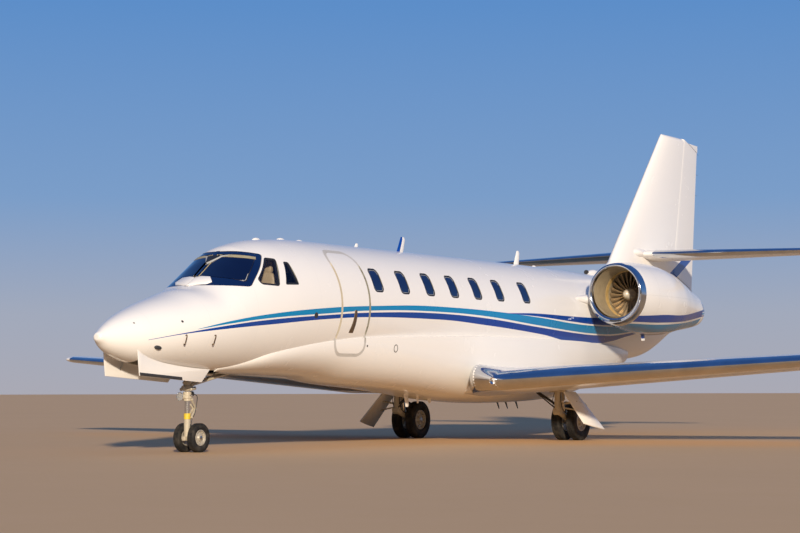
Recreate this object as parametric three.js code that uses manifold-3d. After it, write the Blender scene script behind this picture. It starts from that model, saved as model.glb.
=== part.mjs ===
// Twin-engined business jet standing on its landing gear.
// Millimetres. +X is the port side, the nose points to -Y, +Z is up.
// Stations run aft from the nose tip. The finished group is moved forward by half the length,
// so that its origin lies on the ground under the middle of the aircraft.
import * as THREE from 'three';
import { mergeVertices } from 'three/addons/utils/BufferGeometryUtils.js';
import Module from 'manifold-3d';

const wasm = await Module();
wasm.setup();

// Driving dimensions
const LENGTH = 19350;
const HALF_SPAN = 9650;
const FIN_TOP = 6200;
const CABIN_RADIUS = 1000;
const WALL = 55;
const SEAT = 0.3;
const RUNNING_GAP = 8;
// Cutting bodies run this far past what they cut
const BEYOND = 400;
const FAR = 2000;
const SIDES = [['left', 1], ['right', -1]];

// Paint, metal and trim colours: name to [colour, roughness, metalness]
const FINISH = {
  paint: [0xf0ece8, 0.25, 0],
  bright: [0xc9ccd0, 0.18, 1],
  glass: [0x0a1230, 0.05, 0],
  tyre: [0x17181a, 0.85, 0],
  wheel: [0xb9b2a4, 0.45, 0.4],
  leg: [0xe6e0d0, 0.4, 0.1],
  trim: [0xc8b79a, 0.7, 0],
  dark: [0x2b2c30, 0.6, 0.2],
  engine: [0x77706a, 0.45, 0.8],
};

// Fuselage sections.
// Columns: station, crown height, keel height, half width, height of the widest point.
const BODY = [
  [0, 1600, 1540, 30, 1567],
  [60, 1650, 1478, 98, 1562],
  [150, 1712, 1408, 162, 1560],
  [310, 1808, 1330, 264, 1568],
  [620, 1948, 1238, 438, 1598],
  [950, 2066, 1182, 572, 1648],
  [1280, 2165, 1150, 670, 1700],
  [1550, 2248, 1130, 735, 1750],
  [1800, 2300, 1115, 785, 1810],
  [2150, 2535, 1105, 842, 1880],
  [2400, 2728, 1102, 872, 1920],
  [2700, 2932, 1100, 905, 1970],
  [3300, 3060, 1105, 955, 2050],
  [4100, 3112, 1115, 985, 2105],
  [5000, 3120, 1120, 1000, 2120],
  [10500, 3120, 1120, 1000, 2120],
  [11500, 3115, 1150, 985, 2130],
  [12500, 3105, 1215, 945, 2150],
  [13500, 3085, 1305, 885, 2190],
  [14500, 3065, 1400, 805, 2230],
  [15750, 3050, 1500, 690, 2280],
  [17500, 3010, 2040, 440, 2500],
  [18500, 2930, 2160, 300, 2540],
  [19000, 2830, 2240, 190, 2535],
  [19250, 2700, 2370, 100, 2530],
  [19350, 2560, 2500, 25, 2530],
];
const NOSE_BULKHEAD = 1500;
const WELL_BULKHEAD = 2380;
const COCKPIT_FLOOR = 1640;
const AFT_BULKHEAD = 11900;
const BULKHEAD_THICKNESS = 40;
const TAIL_HOLLOW_END = 18400;
const TAIL_WALL = 25;
const BODY_SIDES = 32;

// Belly fairing sections. Columns: station, half width, height of its upper edge, height of its bottom.
const FAIRING = [
  [2150, 330, 1170, 1098],
  [3000, 700, 1400, 1085],
  [4200, 850, 1585, 1055],
  [5100, 915, 1655, 955],
  [6700, 1000, 1700, 850],
  [8600, 1070, 1740, 675],
  [9600, 1080, 1740, 635],
  [10600, 1070, 1740, 646],
  [11700, 1030, 1730, 695],
  [12700, 910, 1700, 830],
  [13700, 740, 1660, 1060],
  [14700, 500, 1600, 1330],
];
const FAIRING_POWER = 3;
const FAIRING_WALL = 30;
// The fairing is hollow between these stations
const FAIRING_HOLLOW = [5100, 13200];

// Jacking points: X, station and height of each pad's flat foot
const JACK_PAD = { radius: 38, height: 60 };
const NOSE_JACK = [0, 3400, 1040];
const WING_JACK = [2300, 8900, 815];

// Cabin windows: stations of the middle of each, and the opening's size
const WINDOW_STATIONS = [5270, 6010, 6748, 7486, 8224, 8962, 9860];
const WINDOW_HALF_WIDTH = 135;
const WINDOW_TOP = 2715;
const WINDOW_BOTTOM = 2345;
const WINDOW_CORNER = 75;

// Cockpit glass outlines seen from the side, as [station, height]
const WINDSHIELD = [[1600, 2480], [1840, 2325], [2360, 2305], [2880, 2805], [2560, 2850], [2200, 2790]];
const COCKPIT_SIDE = [[2512, 2417], [2548, 2345], [2872, 2333], [3047, 2746], [2865, 2757]];
const COCKPIT_REAR = [[3003, 2361], [3289, 2373], [3254, 2707], [3158, 2710]];
const CENTRE_POST = 32;
const WINDSHIELD_THICKNESS = 35;
const WINDSHIELD_END = 3300;
// Inner frame that carries the cockpit's side panes, as [station, height]
const COCKPIT_FRAME = [[2400, 2300], [3400, 2300], [3400, 2790], [2800, 2790]];
const COCKPIT_SPAN = [2300, 3500];
// Panes stand this far under the outer skin, and their frames are this thick
const PANE_SET_IN = 4;
const FRAME_THICKNESS = 12;
const LINING = { margin: 60, bottom: 2300, top: 2760 };

// Space in the nose that the nose leg folds into, open below, and the slot behind it for the drag brace
const NOSE_WELL = { half: 255, front: 620, rear: 2300, bottom: 500, top: 1560 };
const BRACE_SLOT = { half: 100, rear: 2960, top: 1300 };

// Cabin door: side view limits. It hinges along its lower edge, outside the belly fairing,
// so its upper edge rises a little as it swings out and needs more room than the other three.
const DOOR = { front: 4255, rear: 4950, bottom: 1375, top: 2925, corner: 130, headroom: 22 };
const DOOR_HINGE = { halfWidth: 30, inner: 780, outer: 820, depth: 35, stations: [4420, 4780] };
// The cabin floor stops short of the door's path
const DOOR_SILL_X = 665;

// Wing planform at the port side
const WING = {
  rootX: 300,
  apex: 7100,
  sweep: 0.27,
  rootChord: 3800,
  tipChord: 1200,
  apexHeight: 915,
  dihedral: 0.0605,
  rootThickness: 0.125,
  tipThickness: 0.11,
};
// Beside the fairing the wing's nose is blunt, and stands further aft and higher than its straight line
const WING_CUFF = { end: 1200, fade: 1650, setBack: 205, lift: 85, noseShare: 0.085, thickest: 0.3 };
const SPAR_BOX = { tip: 1180, front: 8300, rear: 9500, bottom: 805, top: 1040 };
const FLAP = { inner: 1260, outer: 6250, hinge: 0.8 };
const AILERON = { inner: 6290, outer: 9150, hinge: 0.76 };

// Tailplane at the port side
const TAIL = {
  apex: 15900,
  sweep: 0.25,
  rootChord: 2150,
  tipChord: 1000,
  halfSpan: 4250,
  height: 3590,
  thickness: 0.1,
};
const ELEVATOR = { inner: 360, outer: 4130, hinge: 0.66 };

// Fin and rudder. The hinge line leans aft as it rises.
const FIN = {
  rootHeight: 2700,
  filletFront: 13800,
  filletHeight: 3060,
  lowHeight: 3380,
  lowFront: 14914,
  topFront: 17370,
  thickness: 0.1,
};
const RUDDER = {
  hingeLow: 17640,
  hingeLowHeight: 3300,
  lean: 0.2566,
  bottom: 3285,
  lowTrailing: 18880,
  topTrailing: 19215,
  topStep: 20,
};

const NACELLE_LENGTH = 3420;
// Left nacelle. Columns: distance aft of the lip, half width, half height, centre height, centre X.
const NACELLE = [
  [0, 500, 520, 2600, 1540],
  [25, 532, 548, 2592, 1540],
  [90, 552, 565, 2586, 1540],
  [220, 568, 582, 2580, 1540],
  [700, 598, 628, 2555, 1535],
  [1300, 605, 652, 2525, 1525],
  [1900, 570, 610, 2500, 1500],
  [2500, 480, 505, 2470, 1465],
  [3000, 395, 410, 2440, 1430],
  [NACELLE_LENGTH, 338, 345, 2415, 1400],
];
const LIP_END = 160;
const LIP_STATION = 12060;
const THROAT = 442;
const FAN_RADIUS = 424;
const FAN_FACE = 640;
const FAN_BLADES = 24;
const FAN_HUB_END = 190;
const NOZZLE_WALL = 28;

// Landing gear
const NOSE_WHEEL = { station: 1980, radius: 203, width: 112, offset: 125, hub: 112 };
const NOSE_LEG_STATION = 1880;
const MAIN_WHEEL = { station: 10190, radius: 330, width: 172, offset: 145, hub: 172 };
const MAIN_GEAR_X = 1625;

// Basic shapes

function solidOf(geometry) {
  const bare = geometry.clone();
  bare.deleteAttribute('normal');
  bare.deleteAttribute('uv');
  const merged = mergeVertices(bare, 1e-3);
  const vertProperties = Float32Array.from(merged.attributes.position.array);
  const triVerts = Uint32Array.from(merged.index.array);
  if (signedVolume(vertProperties, triVerts) < 0) {
    for (let i = 0; i < triVerts.length; i += 3) {
      [triVerts[i], triVerts[i + 1]] = [triVerts[i + 1], triVerts[i]];
    }
  }
  return new wasm.Manifold(new wasm.Mesh({ numProp: 3, vertProperties, triVerts }));
}

function signedVolume(points, triangles) {
  let total = 0;
  const a = new THREE.Vector3();
  const b = new THREE.Vector3();
  const c = new THREE.Vector3();
  for (let i = 0; i < triangles.length; i += 3) {
    a.fromArray(points, 3 * triangles[i]);
    b.fromArray(points, 3 * triangles[i + 1]);
    c.fromArray(points, 3 * triangles[i + 2]);
    total += a.dot(b.cross(c));
  }
  return total;
}

function geometryOf(solid) {
  const mesh = solid.getMesh();
  const geometry = new THREE.BufferGeometry();
  geometry.setAttribute('position', new THREE.BufferAttribute(Float32Array.from(mesh.vertProperties), 3));
  geometry.setIndex(new THREE.BufferAttribute(Uint32Array.from(mesh.triVerts), 1));
  const flat = geometry.toNonIndexed();
  flat.computeVertexNormals();
  return flat;
}

// A closed body through rings of equal point counts, its two ends capped flat
function loft(rings) {
  const count = rings[0].length;
  const positions = rings.flat(2);
  const indices = [];
  for (let i = 0; i + 1 < rings.length; i += 1) {
    for (let k = 0; k < count; k += 1) {
      const a = i * count + k;
      const b = i * count + (k + 1) % count;
      // Each half of a body that spans the middle is split the mirrored way of the other
      if (rings[i][k][0] + rings[i][(k + 1) % count][0] < 0) {
        indices.push(a, b, b + count, a, b + count, a + count);
      } else {
        indices.push(a, b, a + count, b, b + count, a + count);
      }
    }
  }
  for (const face of capOf(rings[0])) {
    indices.push(face[2], face[1], face[0]);
  }
  const last = (rings.length - 1) * count;
  for (const face of capOf(rings.at(-1))) {
    indices.push(last + face[0], last + face[1], last + face[2]);
  }
  const geometry = new THREE.BufferGeometry();
  geometry.setAttribute('position', new THREE.Float32BufferAttribute(positions, 3));
  geometry.setIndex(indices);
  return solidOf(geometry);
}

// The triangles of a flat ring, wound as the ring runs
function capOf(ring) {
  const normal = new THREE.Vector3();
  for (let k = 0; k < ring.length; k += 1) {
    const [ax, ay, az] = ring[k];
    const [bx, by, bz] = ring[(k + 1) % ring.length];
    normal.x += (ay - by) * (az + bz);
    normal.y += (az - bz) * (ax + bx);
    normal.z += (ax - bx) * (ay + by);
  }
  const size = [Math.abs(normal.x), Math.abs(normal.y), Math.abs(normal.z)];
  const drop = size.indexOf(Math.max(...size));
  const [u, v] = [[1, 2], [2, 0], [0, 1]][drop];
  const outline = ring.map((point) => new THREE.Vector2(point[u], point[v]));
  const faces = THREE.ShapeUtils.triangulateShape(outline, []);
  if (THREE.ShapeUtils.area(outline) < 0) {
    return faces.map(([a, b, c]) => windLike(outline, a, c, b, -1));
  }
  return faces.map(([a, b, c]) => windLike(outline, a, b, c, 1));
}

function windLike(outline, a, b, c, sign) {
  const area = THREE.ShapeUtils.area([outline[a], outline[b], outline[c]]);
  return area * sign > 0 ? [a, b, c] : [a, c, b];
}

function box(low, high) {
  const size = high.map((value, k) => value - low[k]);
  const geometry = new THREE.BoxGeometry(...size);
  geometry.translate(low[0] + size[0] / 2, low[1] + size[1] / 2, low[2] + size[2] / 2);
  return solidOf(geometry);
}

// A round bar from one point to another
function rod(from, to, radius, segments = 12, endRadius = radius) {
  const start = new THREE.Vector3(...from);
  const end = new THREE.Vector3(...to);
  const geometry = new THREE.CylinderGeometry(endRadius, radius, start.distanceTo(end), segments);
  const turn = new THREE.Quaternion().setFromUnitVectors(
    new THREE.Vector3(0, 1, 0),
    end.clone().sub(start).normalize(),
  );
  geometry.applyQuaternion(turn);
  const middle = start.add(end).multiplyScalar(0.5);
  geometry.translate(middle.x, middle.y, middle.z);
  return solidOf(geometry);
}

// A profile of [radius, distance] turned about an axis parallel to X or Y
function turned(profile, axis, centre, segments) {
  const points = profile.map(([radius, along]) => new THREE.Vector2(radius, along));
  const geometry = new THREE.LatheGeometry(points, segments);
  if (axis === 'x') {
    geometry.rotateZ(-Math.PI / 2);
  }
  geometry.translate(...centre);
  return solidOf(geometry);
}

// A side-view outline of [station, height] pushed along X
function sidePrism(outline, fromX, toX) {
  return loft([fromX, toX].map((x) => outline.map(([y, z]) => [x, y, z])));
}

function roundedOutline(front, rear, bottom, top, corner, steps = 4) {
  const outline = [];
  const centres = [[rear - corner, top - corner], [front + corner, top - corner],
    [front + corner, bottom + corner], [rear - corner, bottom + corner]];
  centres.forEach(([y, z], quarter) => {
    for (let k = 0; k <= steps; k += 1) {
      const angle = (quarter + k / steps) * Math.PI / 2;
      outline.push([y + corner * Math.cos(angle), z + corner * Math.sin(angle)]);
    }
  });
  return outline;
}

function grown(outline, amount) {
  const middle = [0, 1].map((k) => outline.reduce((sum, point) => sum + point[k], 0) / outline.length);
  return outline.map((point) => {
    const reach = Math.hypot(point[0] - middle[0], point[1] - middle[1]);
    return point.map((value, k) => middle[k] + (value - middle[k]) * (1 + amount / reach));
  });
}

function mirrored(solid) {
  return solid.mirror([1, 0, 0]);
}

function onSide(solid, side) {
  return side > 0 ? solid : mirrored(solid);
}

// The row of a table at a station between its rows
function rowAt(table, station) {
  let k = table.findIndex((row) => row[0] >= station);
  k = Math.min(Math.max(k, 1), table.length - 1);
  const [low, high] = [table[k - 1], table[k]];
  const share = (station - low[0]) / (high[0] - low[0]);
  return low.map((value, c) => value + (high[c] - value) * share);
}

function stationsBetween(table, from, to) {
  const inner = table.map((row) => row[0]).filter((station) => station > from + 1 && station < to - 1);
  return [from, ...inner, to];
}

// Fuselage

function bodyRing(station, inset) {
  const [, crown, keel, half, waist] = rowAt(BODY, station);
  const ring = [];
  for (let k = 0; k < BODY_SIDES; k += 1) {
    const angle = (k / BODY_SIDES) * 2 * Math.PI;
    const rise = Math.sin(angle) > 0 ? crown - waist : waist - keel;
    ring.push([(half - inset) * Math.cos(angle), station, waist + (rise - inset) * Math.sin(angle)]);
  }
  return ring;
}

const wholeBodies = new Map();

// The whole outer form, drawn in or swelled by an inset, made once for each inset
function wholeBody(inset) {
  if (!wholeBodies.has(inset)) {
    wholeBodies.set(inset, loft(BODY.map((row) => bodyRing(row[0], Math.min(inset, row[3] * 0.8)))));
  }
  return wholeBodies.get(inset);
}

function bodySolid(from, to, inset) {
  const wide = CABIN_RADIUS + BEYOND;
  return wholeBody(inset).intersect(box([-wide, from, 0], [wide, to, FIN_TOP]));
}

function underCockpit(shrink) {
  return box([-FAR, NOSE_BULKHEAD - BEYOND, 0], [FAR, WELL_BULKHEAD - shrink, COCKPIT_FLOOR - shrink]);
}

function noseWellCut() {
  const { half, front, rear, bottom, top } = NOSE_WELL;
  const slot = BRACE_SLOT;
  const behind = box([-slot.half, rear - 10, bottom], [slot.half, slot.rear, slot.top]);
  return box([-half, front, bottom], [half, rear, top]).add(behind);
}

function noseShell() {
  const ahead = bodySolid(0, NOSE_BULKHEAD, 0);
  const below = bodySolid(NOSE_BULKHEAD - 100, WELL_BULKHEAD - SEAT, 0).intersect(underCockpit(SEAT));
  return ahead.add(below).subtract(noseWellCut());
}

function cabinTube(outset, thickness) {
  const outer = bodySolid(NOSE_BULKHEAD + SEAT, AFT_BULKHEAD, -outset);
  const inner = bodySolid(NOSE_BULKHEAD - BEYOND, AFT_BULKHEAD - BULKHEAD_THICKNESS, thickness);
  return outer.subtract(inner);
}

function windowOutlines() {
  return WINDOW_STATIONS.map((station) => roundedOutline(
    station - WINDOW_HALF_WIDTH,
    station + WINDOW_HALF_WIDTH,
    WINDOW_BOTTOM,
    WINDOW_TOP,
    WINDOW_CORNER,
    2,
  ));
}

function doorOutline() {
  return roundedOutline(DOOR.front, DOOR.rear, DOOR.bottom, DOOR.top, DOOR.corner, 3);
}

function doorway() {
  return throughPort(roundedOutline(
    DOOR.front - RUNNING_GAP,
    DOOR.rear + RUNNING_GAP,
    DOOR.bottom - RUNNING_GAP,
    DOOR.top + DOOR.headroom,
    DOOR.corner + RUNNING_GAP,
    3,
  ));
}

function throughPort(outline) {
  return sidePrism(outline, CABIN_RADIUS / 4, CABIN_RADIUS + BEYOND);
}

function throughBoth(outline) {
  return sidePrism(outline, -CABIN_RADIUS - BEYOND, CABIN_RADIUS + BEYOND);
}

function windshieldCut(margin) {
  const half = CENTRE_POST - margin;
  const post = box([-half, NOSE_BULKHEAD - BEYOND, COCKPIT_FLOOR], [half, WINDSHIELD_END, FIN_TOP]);
  return throughBoth(grown(WINDSHIELD, margin)).subtract(post);
}

function cabinShell() {
  let shell = cabinTube(0, WALL).subtract(underCockpit(0)).subtract(noseWellCut()).subtract(doorway());
  for (const outline of windowOutlines()) {
    shell = shell.subtract(throughBoth(outline));
  }
  for (const outline of [COCKPIT_SIDE, COCKPIT_REAR]) {
    shell = shell.subtract(throughBoth(outline));
  }
  return addAntennas(shell.subtract(windshieldCut(0)));
}

// Blades on the crown. Columns: station, chord, height, thickness.
const CROWN_BLADES = [
  [5985, 120, 95, 24],
  [7215, 215, 285, 36],
  [11090, 190, 260, 36],
];
// Blades under the belly, and the drain fins behind them
const BELLY_BLADES = [
  [7420, 190, 200, 26],
  [7790, 110, 100, 18],
  [8130, 150, 90, 20],
  [10430, 70, 110, 14],
  [10730, 70, 115, 14],
  [11100, 70, 110, 14],
];
const BLADE = { rake: 0.45, taper: 0.6, thickest: 0.35 };

function addAntennas(shell) {
  return CROWN_BLADES.reduce((sum, [station, chord, height, thickness]) => {
    const foot = rowAt(BODY, station)[1] - WALL / 2;
    return sum.add(blade(station, foot, chord, height, thickness));
  }, shell);
}

function addBellyBlades(fairing) {
  return BELLY_BLADES.reduce((sum, [station, chord, depth, thickness]) => {
    const bottom = rowAt(FAIRING, station)[3];
    return sum.add(blade(station, bottom + FAIRING_WALL / 2, chord, -depth - FAIRING_WALL / 2, thickness));
  }, fairing);
}

// A swept blade from its foot to its tip, up for a height over 0 and down for one below 0
function blade(station, foot, chord, height, thickness) {
  const ring = (front, length, z) => [
    [0, front, z],
    [thickness / 2, front + length * BLADE.thickest, z],
    [0, front + length, z],
    [-thickness / 2, front + length * BLADE.thickest, z],
  ];
  const tipFront = station + Math.abs(height) * BLADE.rake;
  return loft([ring(station, chord, foot), ring(tipFront, chord * BLADE.taper, foot + height)]);
}

// The cabin sidewall lining behind the windows carries the row of panes
function cabinWindows(side) {
  const first = WINDOW_STATIONS[0] - WINDOW_HALF_WIDTH - LINING.margin;
  const last = WINDOW_STATIONS.at(-1) + WINDOW_HALF_WIDTH + LINING.margin;
  const band = sidePrism(
    [[first, LINING.bottom], [last, LINING.bottom], [last, LINING.top], [first, LINING.top]],
    CABIN_RADIUS / 4,
    CABIN_RADIUS,
  );
  let strip = skinBetween(first, last, WALL + SEAT).intersect(band);
  const panes = skinBetween(first, last, PANE_SET_IN);
  for (const outline of windowOutlines()) {
    strip = strip.add(panes.intersect(throughPort(grown(outline, -SEAT))));
  }
  return onSide(strip, side);
}

// A layer of the skin's form from an inset in to the inner face of the window frames
function skinBetween(from, to, inset) {
  return bodySolid(from, to, inset).subtract(bodySolid(from - BEYOND, to + BEYOND, WALL + FRAME_THICKNESS));
}

function cockpitSideGlass(side) {
  let glass = skinBetween(...COCKPIT_SPAN, WALL + SEAT).intersect(throughPort(COCKPIT_FRAME));
  const panes = skinBetween(...COCKPIT_SPAN, PANE_SET_IN);
  for (const outline of [COCKPIT_SIDE, COCKPIT_REAR]) {
    glass = glass.add(panes.intersect(throughPort(grown(outline, -SEAT))));
  }
  return onSide(glass.subtract(windshieldReach()), side);
}

// The windshield glass keeps this space clear of the side glass frame
function windshieldReach() {
  return throughBoth(grown(WINDSHIELD, 25));
}

function windshield(side) {
  const skin = cabinTube(-3, WINDSHIELD_THICKNESS);
  const half = box([0, NOSE_BULKHEAD - BEYOND, COCKPIT_FLOOR], [FAR, WINDSHIELD_END + BEYOND, FIN_TOP]);
  return onSide(skin.intersect(windshieldCut(-SEAT)).intersect(half), side);
}

// The door's lower end has the fairing's form over the fuselage's
function cabinDoor() {
  const fairingPart = fairingSolid(0).subtract(wholeBody(WALL));
  return cabinTube(0, WALL).add(fairingPart).intersect(throughPort(doorOutline()));
}

function doorHinges() {
  const { halfWidth, inner, outer, depth, stations } = DOOR_HINGE;
  const blocks = stations.map((station) => box(
    [inner, station - halfWidth, DOOR.bottom - depth],
    [outer, station + halfWidth, DOOR.bottom - SEAT],
  ));
  return blocks.reduce((sum, block) => sum.add(block));
}

// The tail is a shell that is open at the front, where the cabin's rear bulkhead closes it
function tailShell() {
  const outer = bodySolid(AFT_BULKHEAD + SEAT, LENGTH + BEYOND, 0);
  return outer.subtract(bodySolid(AFT_BULKHEAD - BEYOND, TAIL_HOLLOW_END, TAIL_WALL));
}

function fairingRing([station, half, top, bottom], outset) {
  const steps = 12;
  const ring = [];
  for (let k = 0; k <= steps; k += 1) {
    const angle = (k / steps) * Math.PI;
    const across = Math.sign(Math.cos(angle)) * Math.abs(Math.cos(angle)) ** (2 / FAIRING_POWER);
    const down = Math.sin(angle) ** (2 / FAIRING_POWER);
    ring.push([(half + outset) * across, station, top - (top - bottom + outset) * down]);
  }
  ring.push([-(half + outset) * 0.5, station, top + 40], [(half + outset) * 0.5, station, top + 40]);
  return ring;
}

function fairingSolid(outset) {
  return loft(FAIRING.map((row) => fairingRing(row, outset)));
}

function bodyKeepOut() {
  return wholeBody(-SEAT);
}

function bellyFairing() {
  const shell = fairingSolid(0).subtract(fairingHollow());
  const cut = shell.subtract(bodyKeepOut()).subtract(doorway()).subtract(noseWellCut());
  const open = cut.subtract(wingBox(SEAT)).subtract(mirrored(wingBox(SEAT)));
  return addBellyBlades(open.add(jackPad(NOSE_JACK)).add(doorHinges()));
}

function fairingHollow() {
  const slab = box([-FAR, FAIRING_HOLLOW[0], 0], [FAR, FAIRING_HOLLOW[1], FIN_TOP]);
  const raised = fairingSolid(-FAIRING_WALL).add(fairingSolid(-FAIRING_WALL).translate([0, 0, BEYOND]));
  return raised.intersect(slab);
}

// Each wing's spar box runs through the fairing to the aircraft's middle
function wingBox(outset) {
  const { tip, front, rear, bottom, top } = SPAR_BOX;
  return box([SEAT - outset, front - outset, bottom - outset], [tip + outset, rear + outset, top + outset]);
}

// Wing and tail surfaces

// Terms of the four-digit section's thickness: of the square root, then of each power of the share
const THICKNESS_TERMS = [0.2969, -0.126, -0.3516, 0.2843, -0.1036];

// Half thickness of a symmetrical section, as a share of the chord, with a closed trailing edge
function halfThickness(share, ratio) {
  const s = Math.min(Math.max(share, 0), 1);
  const [root, ...powers] = THICKNESS_TERMS;
  const sum = powers.reduce((total, term, k) => total + term * s ** (k + 1), root * Math.sqrt(s));
  return 5 * ratio * sum;
}

const SECTION_SHARES = [0, 0.012, 0.05, 0.12, 0.25, 0.42, 0.6, 0.8];
const TRAILING_EDGE = 5;
const NOSE_ARC_STEPS = 6;
// Tips are capped over this length, with sections this much thinner
const TIP_CAP = 70;
const TIP_THINNING = 0.4;
const HINGE_PAD = { width: 40, depth: 60, half: 12 };

// One closed ring of a section: upper side from the trailing edge forward, then the lower side aft
function sectionRing(place, outset = 0) {
  const { chord, ratio, put, shape = halfThickness } = place;
  const ring = [];
  const upper = (share) => shape(share, ratio) * chord + TRAILING_EDGE / 2 + outset;
  ring.push(put(chord + outset, TRAILING_EDGE / 2 + outset));
  for (const share of SECTION_SHARES.toReversed()) {
    const along = share * chord - (share === 0 ? outset : 0);
    ring.push(put(along, share === 0 ? 0 : upper(share)));
  }
  for (const share of SECTION_SHARES.slice(1)) {
    ring.push(put(share * chord, -upper(share)));
  }
  ring.push(put(chord + outset, -TRAILING_EDGE / 2 - outset));
  return ring;
}

// The ring of a hollow under the skin, between two shares of the chord
const HOLLOW_STEPS = [0, 0.08, 0.2, 0.4, 0.7, 1];

function hollowRing({ chord, ratio, put }, from, to, wall) {
  const shares = HOLLOW_STEPS.map((step) => from + (to - from) * step);
  const half = (share) => halfThickness(share, ratio) * chord - wall;
  const upper = shares.toReversed().map((share) => put(share * chord, half(share)));
  return [...upper, ...shares.map((share) => put(share * chord, -half(share)))];
}

function wingPlace(x) {
  const share = x / HALF_SPAN;
  const front = WING.apex + WING.sweep * x;
  const height = WING.apexHeight + WING.dihedral * x;
  const chord = WING.rootChord + (WING.tipChord - WING.rootChord) * share;
  const ratio = WING.rootThickness + (WING.tipThickness - WING.rootThickness) * share;
  return { chord, ratio, front, height, put: (along, up) => [x, front + along, height + up] };
}

function tailPlace(x) {
  const share = Math.abs(x) / TAIL.halfSpan;
  const front = TAIL.apex + TAIL.sweep * Math.abs(x);
  const chord = TAIL.rootChord + (TAIL.tipChord - TAIL.rootChord) * share;
  const put = (along, up) => [x, front + along, TAIL.height + up];
  return { chord, ratio: TAIL.thickness, front, height: TAIL.height, put };
}

function rudderHinge(z) {
  return RUDDER.hingeLow + RUDDER.lean * (z - RUDDER.hingeLowHeight);
}

function finPlace(z) {
  const climb = (z - FIN.lowHeight) / (FIN_TOP - FIN.lowHeight);
  const front = FIN.lowFront + (FIN.topFront - FIN.lowFront) * climb;
  const trailClimb = (z - RUDDER.bottom) / (FIN_TOP - RUDDER.bottom);
  const trailing = RUDDER.lowTrailing + (RUDDER.topTrailing - RUDDER.lowTrailing) * trailClimb;
  const put = (along, up) => [up, front + along, z];
  return { chord: trailing - front, ratio: FIN.thickness, front, height: z, put };
}

// The line that a surface hinges on: its two ends, and the directions along, aft and up of it
function hingeLine(placeAt, from, to, hingeShareAt) {
  const ends = [from, to].map((span) => {
    const place = placeAt(span);
    const share = hingeShareAt(span, place);
    const radius = halfThickness(share, place.ratio) * place.chord + TRAILING_EDGE / 2;
    return { place, share, radius, centre: new THREE.Vector3(...place.put(share * place.chord, 0)) };
  });
  const axis = ends[1].centre.clone().sub(ends[0].centre).normalize();
  const aft = new THREE.Vector3(0, 1, 0);
  aft.addScaledVector(axis, -aft.dot(axis));
  const slant = aft.length();
  aft.normalize();
  const [foot, tip] = [0, 1].map((up) => new THREE.Vector3(...ends[0].place.put(0, up)));
  const rise = tip.sub(foot);
  const up = new THREE.Vector3().crossVectors(axis, aft);
  up.multiplyScalar(Math.sign(up.dot(rise)));
  return { ends, axis, aft, up, slant };
}

// Points given as [aft, up] of a place on the hinge line, in the plane square to it
function squareRing({ aft, up }, centre, flat) {
  return flat.map(([along, height]) => centre.clone()
    .addScaledVector(aft, along)
    .addScaledVector(up, height)
    .toArray());
}

// The front half of a circle about the hinge line, from its top round to its bottom
function noseArc(radius) {
  const arc = [];
  for (let k = 0; k <= NOSE_ARC_STEPS; k += 1) {
    const angle = Math.PI * (0.5 + k / NOSE_ARC_STEPS);
    arc.push([radius * Math.cos(angle), radius * Math.sin(angle)]);
  }
  return arc;
}

// A hinged surface: its nose is round about the hinge line, and its ends are square to that line
function hingedSurface(line) {
  return loft(line.ends.map(({ place, share, radius, centre }) => {
    const middle = (1 + share) / 2;
    const thick = halfThickness(middle, place.ratio) * place.chord + TRAILING_EDGE / 2;
    const rear = (at) => (at - share) * place.chord * line.slant;
    return squareRing(line, centre, [
      ...noseArc(radius),
      [rear(middle), -thick],
      [rear(1), -TRAILING_EDGE / 2],
      [rear(1), TRAILING_EDGE / 2],
      [rear(middle), thick],
    ]);
  }));
}

// The space that a hinged surface needs, with the running gap round its nose and past its ends
function hingePocket(line) {
  return loft(line.ends.map(({ place, radius, centre }, k) => {
    const shifted = centre.clone().addScaledVector(line.axis, k === 0 ? -RUNNING_GAP : RUNNING_GAP);
    return squareRing(line, shifted, [
      ...noseArc(radius + RUNNING_GAP),
      [0, -BEYOND],
      [place.chord, -BEYOND],
      [place.chord, BEYOND],
      [0, BEYOND],
    ]);
  }));
}

// Hinge bearings: pads on the fixed surface that reach back to the nose of the hinged one
function hingePads(line, shares) {
  const [low, high] = line.ends;
  const span = low.centre.distanceTo(high.centre);
  const pads = shares.map((share) => loft([-1, 1].map((end) => {
    const along = share + (end * HINGE_PAD.width) / 2 / span;
    const radius = low.radius + (high.radius - low.radius) * along + SEAT;
    const centre = low.centre.clone().lerp(high.centre, along);
    const { depth, half } = HINGE_PAD;
    return squareRing(line, centre, [
      [-radius, half],
      [-radius - depth, half],
      [-radius - depth, -half],
      [-radius, -half],
    ]);
  })));
  return pads.reduce((sum, pad) => sum.add(pad));
}

// The wing's section at the cuff: a half ellipse ahead of the thickest point
function cuffThickness(share, ratio) {
  const most = halfThickness(WING_CUFF.thickest, ratio);
  const ahead = 1 - Math.min(share / WING_CUFF.noseShare, 1);
  return share < WING_CUFF.thickest ? most * Math.sqrt(1 - ahead ** 2) : halfThickness(share, ratio);
}

// The cuff's share is 1 at the fairing and 0 where it has faded into the plain wing
function wingRing(x) {
  const place = wingPlace(x);
  const { end, fade, setBack, lift } = WING_CUFF;
  const cuff = Math.min(Math.max((fade - x) / (fade - end), 0), 1);
  const fading = (along) => cuff * Math.max(1 - along / (place.chord / 2), 0);
  return sectionRing({
    ...place,
    shape: (share, ratio) => (1 - cuff) * halfThickness(share, ratio) + cuff * cuffThickness(share, ratio),
    put: (along, up) => place.put(along + setBack * fading(along), up + lift * fading(along)),
  });
}

const WING_TIP = { length: 90, chord: 0.86, thickness: 0.35, setBack: 0.1 };

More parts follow.
